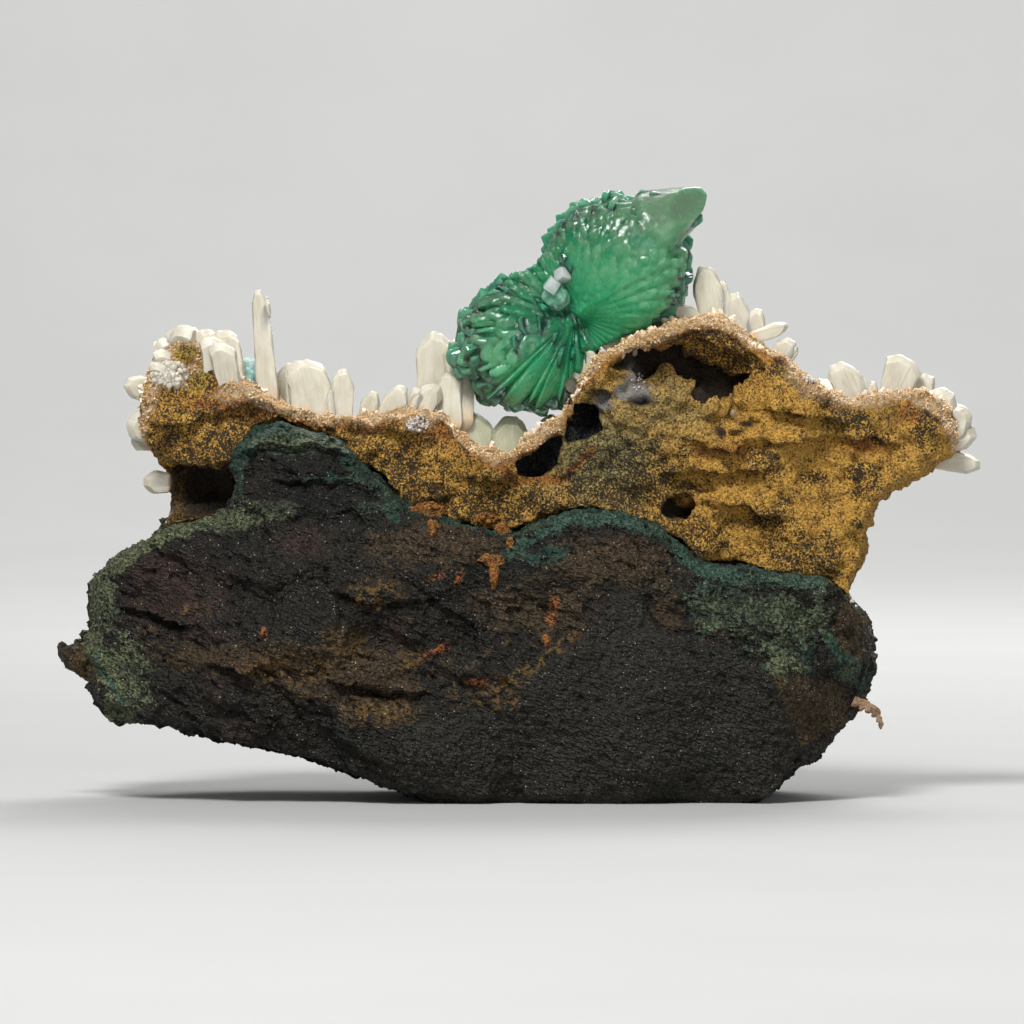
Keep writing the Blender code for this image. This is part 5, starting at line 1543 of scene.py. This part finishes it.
def add_fan_features(pile, clear_block):
    """The knob near the centre and its two clear blocks."""
    small = stock_ball(15)
    knob = small.points * (2.2, 2.2, 2.1) * (1 + 0.10 * rough(small.points * 2.5, 3, seed=64))[:, None]
    pile.add(small, knob + (5.0, -7.2, 75.1), 2, grain=knob * MM, reach=np.full(len(knob), 0.9),
             tone=np.full(len(knob), 0.8), edge=np.zeros(len(knob)))
    for place, size, turn in (((4.46, -9.4, 76.9), 1.9, (20, 35, 12)), ((6.0, -8.7, 78.4), 1.8, (-25, 10, 40))):
        spin = Matrix.Translation(place) @ Matrix.Rotation(math.radians(turn[2]), 4, "Z") \
            @ Matrix.Rotation(math.radians(turn[1]), 4, "Y") @ Matrix.Rotation(math.radians(turn[0]), 4, "X")
        local = clear_block.points * size
        pile.add(clear_block, placed(spin, local), 3, grain=local * MM, reach=np.ones(len(local)),
                 tone=np.ones(len(local)), edge=np.zeros(len(local)))


def make_small_apophyllite(plates, material):
    """The small teal cluster behind the spike."""
    rng = np.random.default_rng(4)
    pile = Pile()
    for x, y, z, lean, length, width in (
        (-41.1, 0.7, 60.2, -4, 7.0, 2.3), (-41.9, 0.1, 60.2, -14, 5.8, 2.0),
        (-40.3, 1.3, 60.0, 12, 5.2, 2.0), (-41.5, -0.4, 60.4, 4, 5.4, 1.6),
        (-40.6, 0.2, 60.6, -8, 6.2, 1.5),
    ):
        stock = plates[rng.integers(len(plates))]
        shape = stock.points
        grow = 0.75 + 0.25 * shape[:, 2]
        local = np.stack([shape[:, 0] * width * grow, shape[:, 1] * width * grow, shape[:, 2] * length - 1.2], 1)
        turn = Matrix.Translation((x, y, z)) @ Matrix.Rotation(math.radians(lean), 4, "Y")
        pile.add(stock, placed(turn, local), grain=local * MM, reach=0.4 + 0.3 * shape[:, 2],
                 tone=np.full(len(local), 0.5), edge=shape[:, 2] ** 3)
    obj = pile.piece("apophyllite_small_cluster", [material])
    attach(obj, "root")
    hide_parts("apophyllite_small")


# ---- stage, light and camera ----------------------------------------------


def paper_finish():
    f = Finish("studio paper")
    f.set(Base_Color=f.mix(f.noise(60, 2), (0.36, 0.36, 0.35), (0.39, 0.39, 0.38)), Roughness=0.85)
    return f.material


def make_stage():
    nothing_selected()
    bpy.ops.mesh.primitive_plane_add(size=1, location=(0, 0, 0))
    obj = bpy.context.object
    obj.name = "studio_paper"
    edit(obj)
    bpy.ops.transform.resize(value=(5, 2.4, 1))
    bpy.ops.transform.translate(value=(0, -0.4, 0))
    leave_edit()
    edit(obj, "DESELECT")
    leave_edit()
    for edge in obj.data.edges:
        edge.select = all(obj.data.vertices[v].co.y > 0 for v in edge.vertices)
    bpy.ops.object.mode_set(mode="EDIT")
    bpy.ops.mesh.select_mode(type="EDGE")
    bpy.ops.mesh.extrude_region_move(TRANSFORM_OT_translate={"value": (0, 0.25, 0)})
    bpy.ops.mesh.extrude_region_move(TRANSFORM_OT_translate={"value": (0, 0.35, 0.08)})
    bpy.ops.mesh.extrude_region_move(TRANSFORM_OT_translate={"value": (0, 0.20, 0.32)})
    bpy.ops.mesh.extrude_region_move(TRANSFORM_OT_translate={"value": (0, 0.04, 2.2)})
    leave_edit()
    smooth = obj.modifiers.new("sweep", "SUBSURF")
    smooth.levels = smooth.render_levels = 3
    apply_modifiers(obj)
    only(obj)
    bpy.ops.object.shade_smooth()
    obj.data.materials.append(paper_finish())


def add_light(name, place, aim, size, watts, colour=(1, 1, 1)):
    data = bpy.data.lights.new(name, "AREA")
    data.shape = "DISK"
    data.size = size
    data.energy = watts
    data.color = colour
    lamp = bpy.data.objects.new(name, data)
    bpy.context.scene.collection.objects.link(lamp)
    lamp.location = place
    lamp.rotation_mode = "QUATERNION"
    lamp.rotation_quaternion = (Vector(aim) - Vector(place)).to_track_quat("-Z", "Y")


def make_light():
    middle = (0, 0, 0.05)
    add_light("top softbox", (-0.16, -0.50, 0.66), middle, 0.26, 8.4)
    add_light("front fill", (0.40, -1.0, 0.20), middle, 0.6, 3.0)
    add_light("back softbox", (0.25, 0.55, 0.55), middle, 0.4, 4.0)
    add_light("paper light", (0, 0.9, 0.9), (0, 1.35, 0.05), 0.8, 12.0)
    world = bpy.data.worlds.new("studio")
    world.use_nodes = True
    world.node_tree.nodes["Background"].inputs["Color"].default_value = (0.92, 0.95, 1.0, 1)
    world.node_tree.nodes["Background"].inputs["Strength"].default_value = 0.30
    bpy.context.scene.world = world


def make_camera():
    data = bpy.data.cameras.new("camera")
    data.lens, data.sensor_width = 300, 36
    data.clip_start, data.clip_end = 0.05, 20
    camera = bpy.data.objects.new("camera", data)
    bpy.context.scene.collection.objects.link(camera)
    centre = Vector((-1.54, -10.0, 42.9)) * MM
    pitch = math.radians(1.5)
    back = Vector((0, -math.cos(pitch), math.sin(pitch)))
    camera.location = centre + back * 1.28
    camera.rotation_mode = "QUATERNION"
    camera.rotation_quaternion = (-back).to_track_quat("-Z", "Y")
    bpy.context.scene.camera = camera


make_camera()
make_stage()
make_light()
bpy.context.scene.view_settings.view_transform = "Standard"

basalt, crust = make_basalt(), make_crust()
sugar, sugar_druse = stock_sugar(), druse_finish()
make_druse(crust, sugar, sugar_druse)
meet = surface_of(basalt, crust)
make_quartz(meet, sugar, clear_finish("grey quartz", ((0.46, 0.40, 0.35), (0.66, 0.60, 0.54)), 0.0, 0.6))
make_orange_crumbs(meet, stock_ball(9), crust.data.materials[0])
make_flake(meet, crust.data.materials[0])
pearl = stilbite_finish()
make_stilbites(stock_block(13), sugar, pearl)
make_knob_lumps(meet, stock_block(7), pearl)
make_far_sheaves(stock_block(9), pearl)
plates = [stock_plate(0.05, 0.10, 0.92), stock_plate(0.22, 0.02, 0.86), stock_plate(0.15, 0.20, 0.94)]
glass = apophyllite_finish("apophyllite", False)
milk = apophyllite_finish("milky apophyllite", True)
pale_green = clear_finish("pale knob", ((0.10, 0.34, 0.21), (0.30, 0.54, 0.41)), 0.3)
water_clear = clear_finish("clear blocks", ((0.80, 0.92, 0.88), (0.93, 0.97, 0.96)), 0.6)
make_fans(stock_ball(119), plates, stock_clear_block(), [glass, milk, pale_green, water_clear])
teal_clear = clear_finish("pale teal", ((0.26, 0.52, 0.47), (0.66, 0.84, 0.80)), 0.25)
make_small_apophyllite(plates, teal_clear)
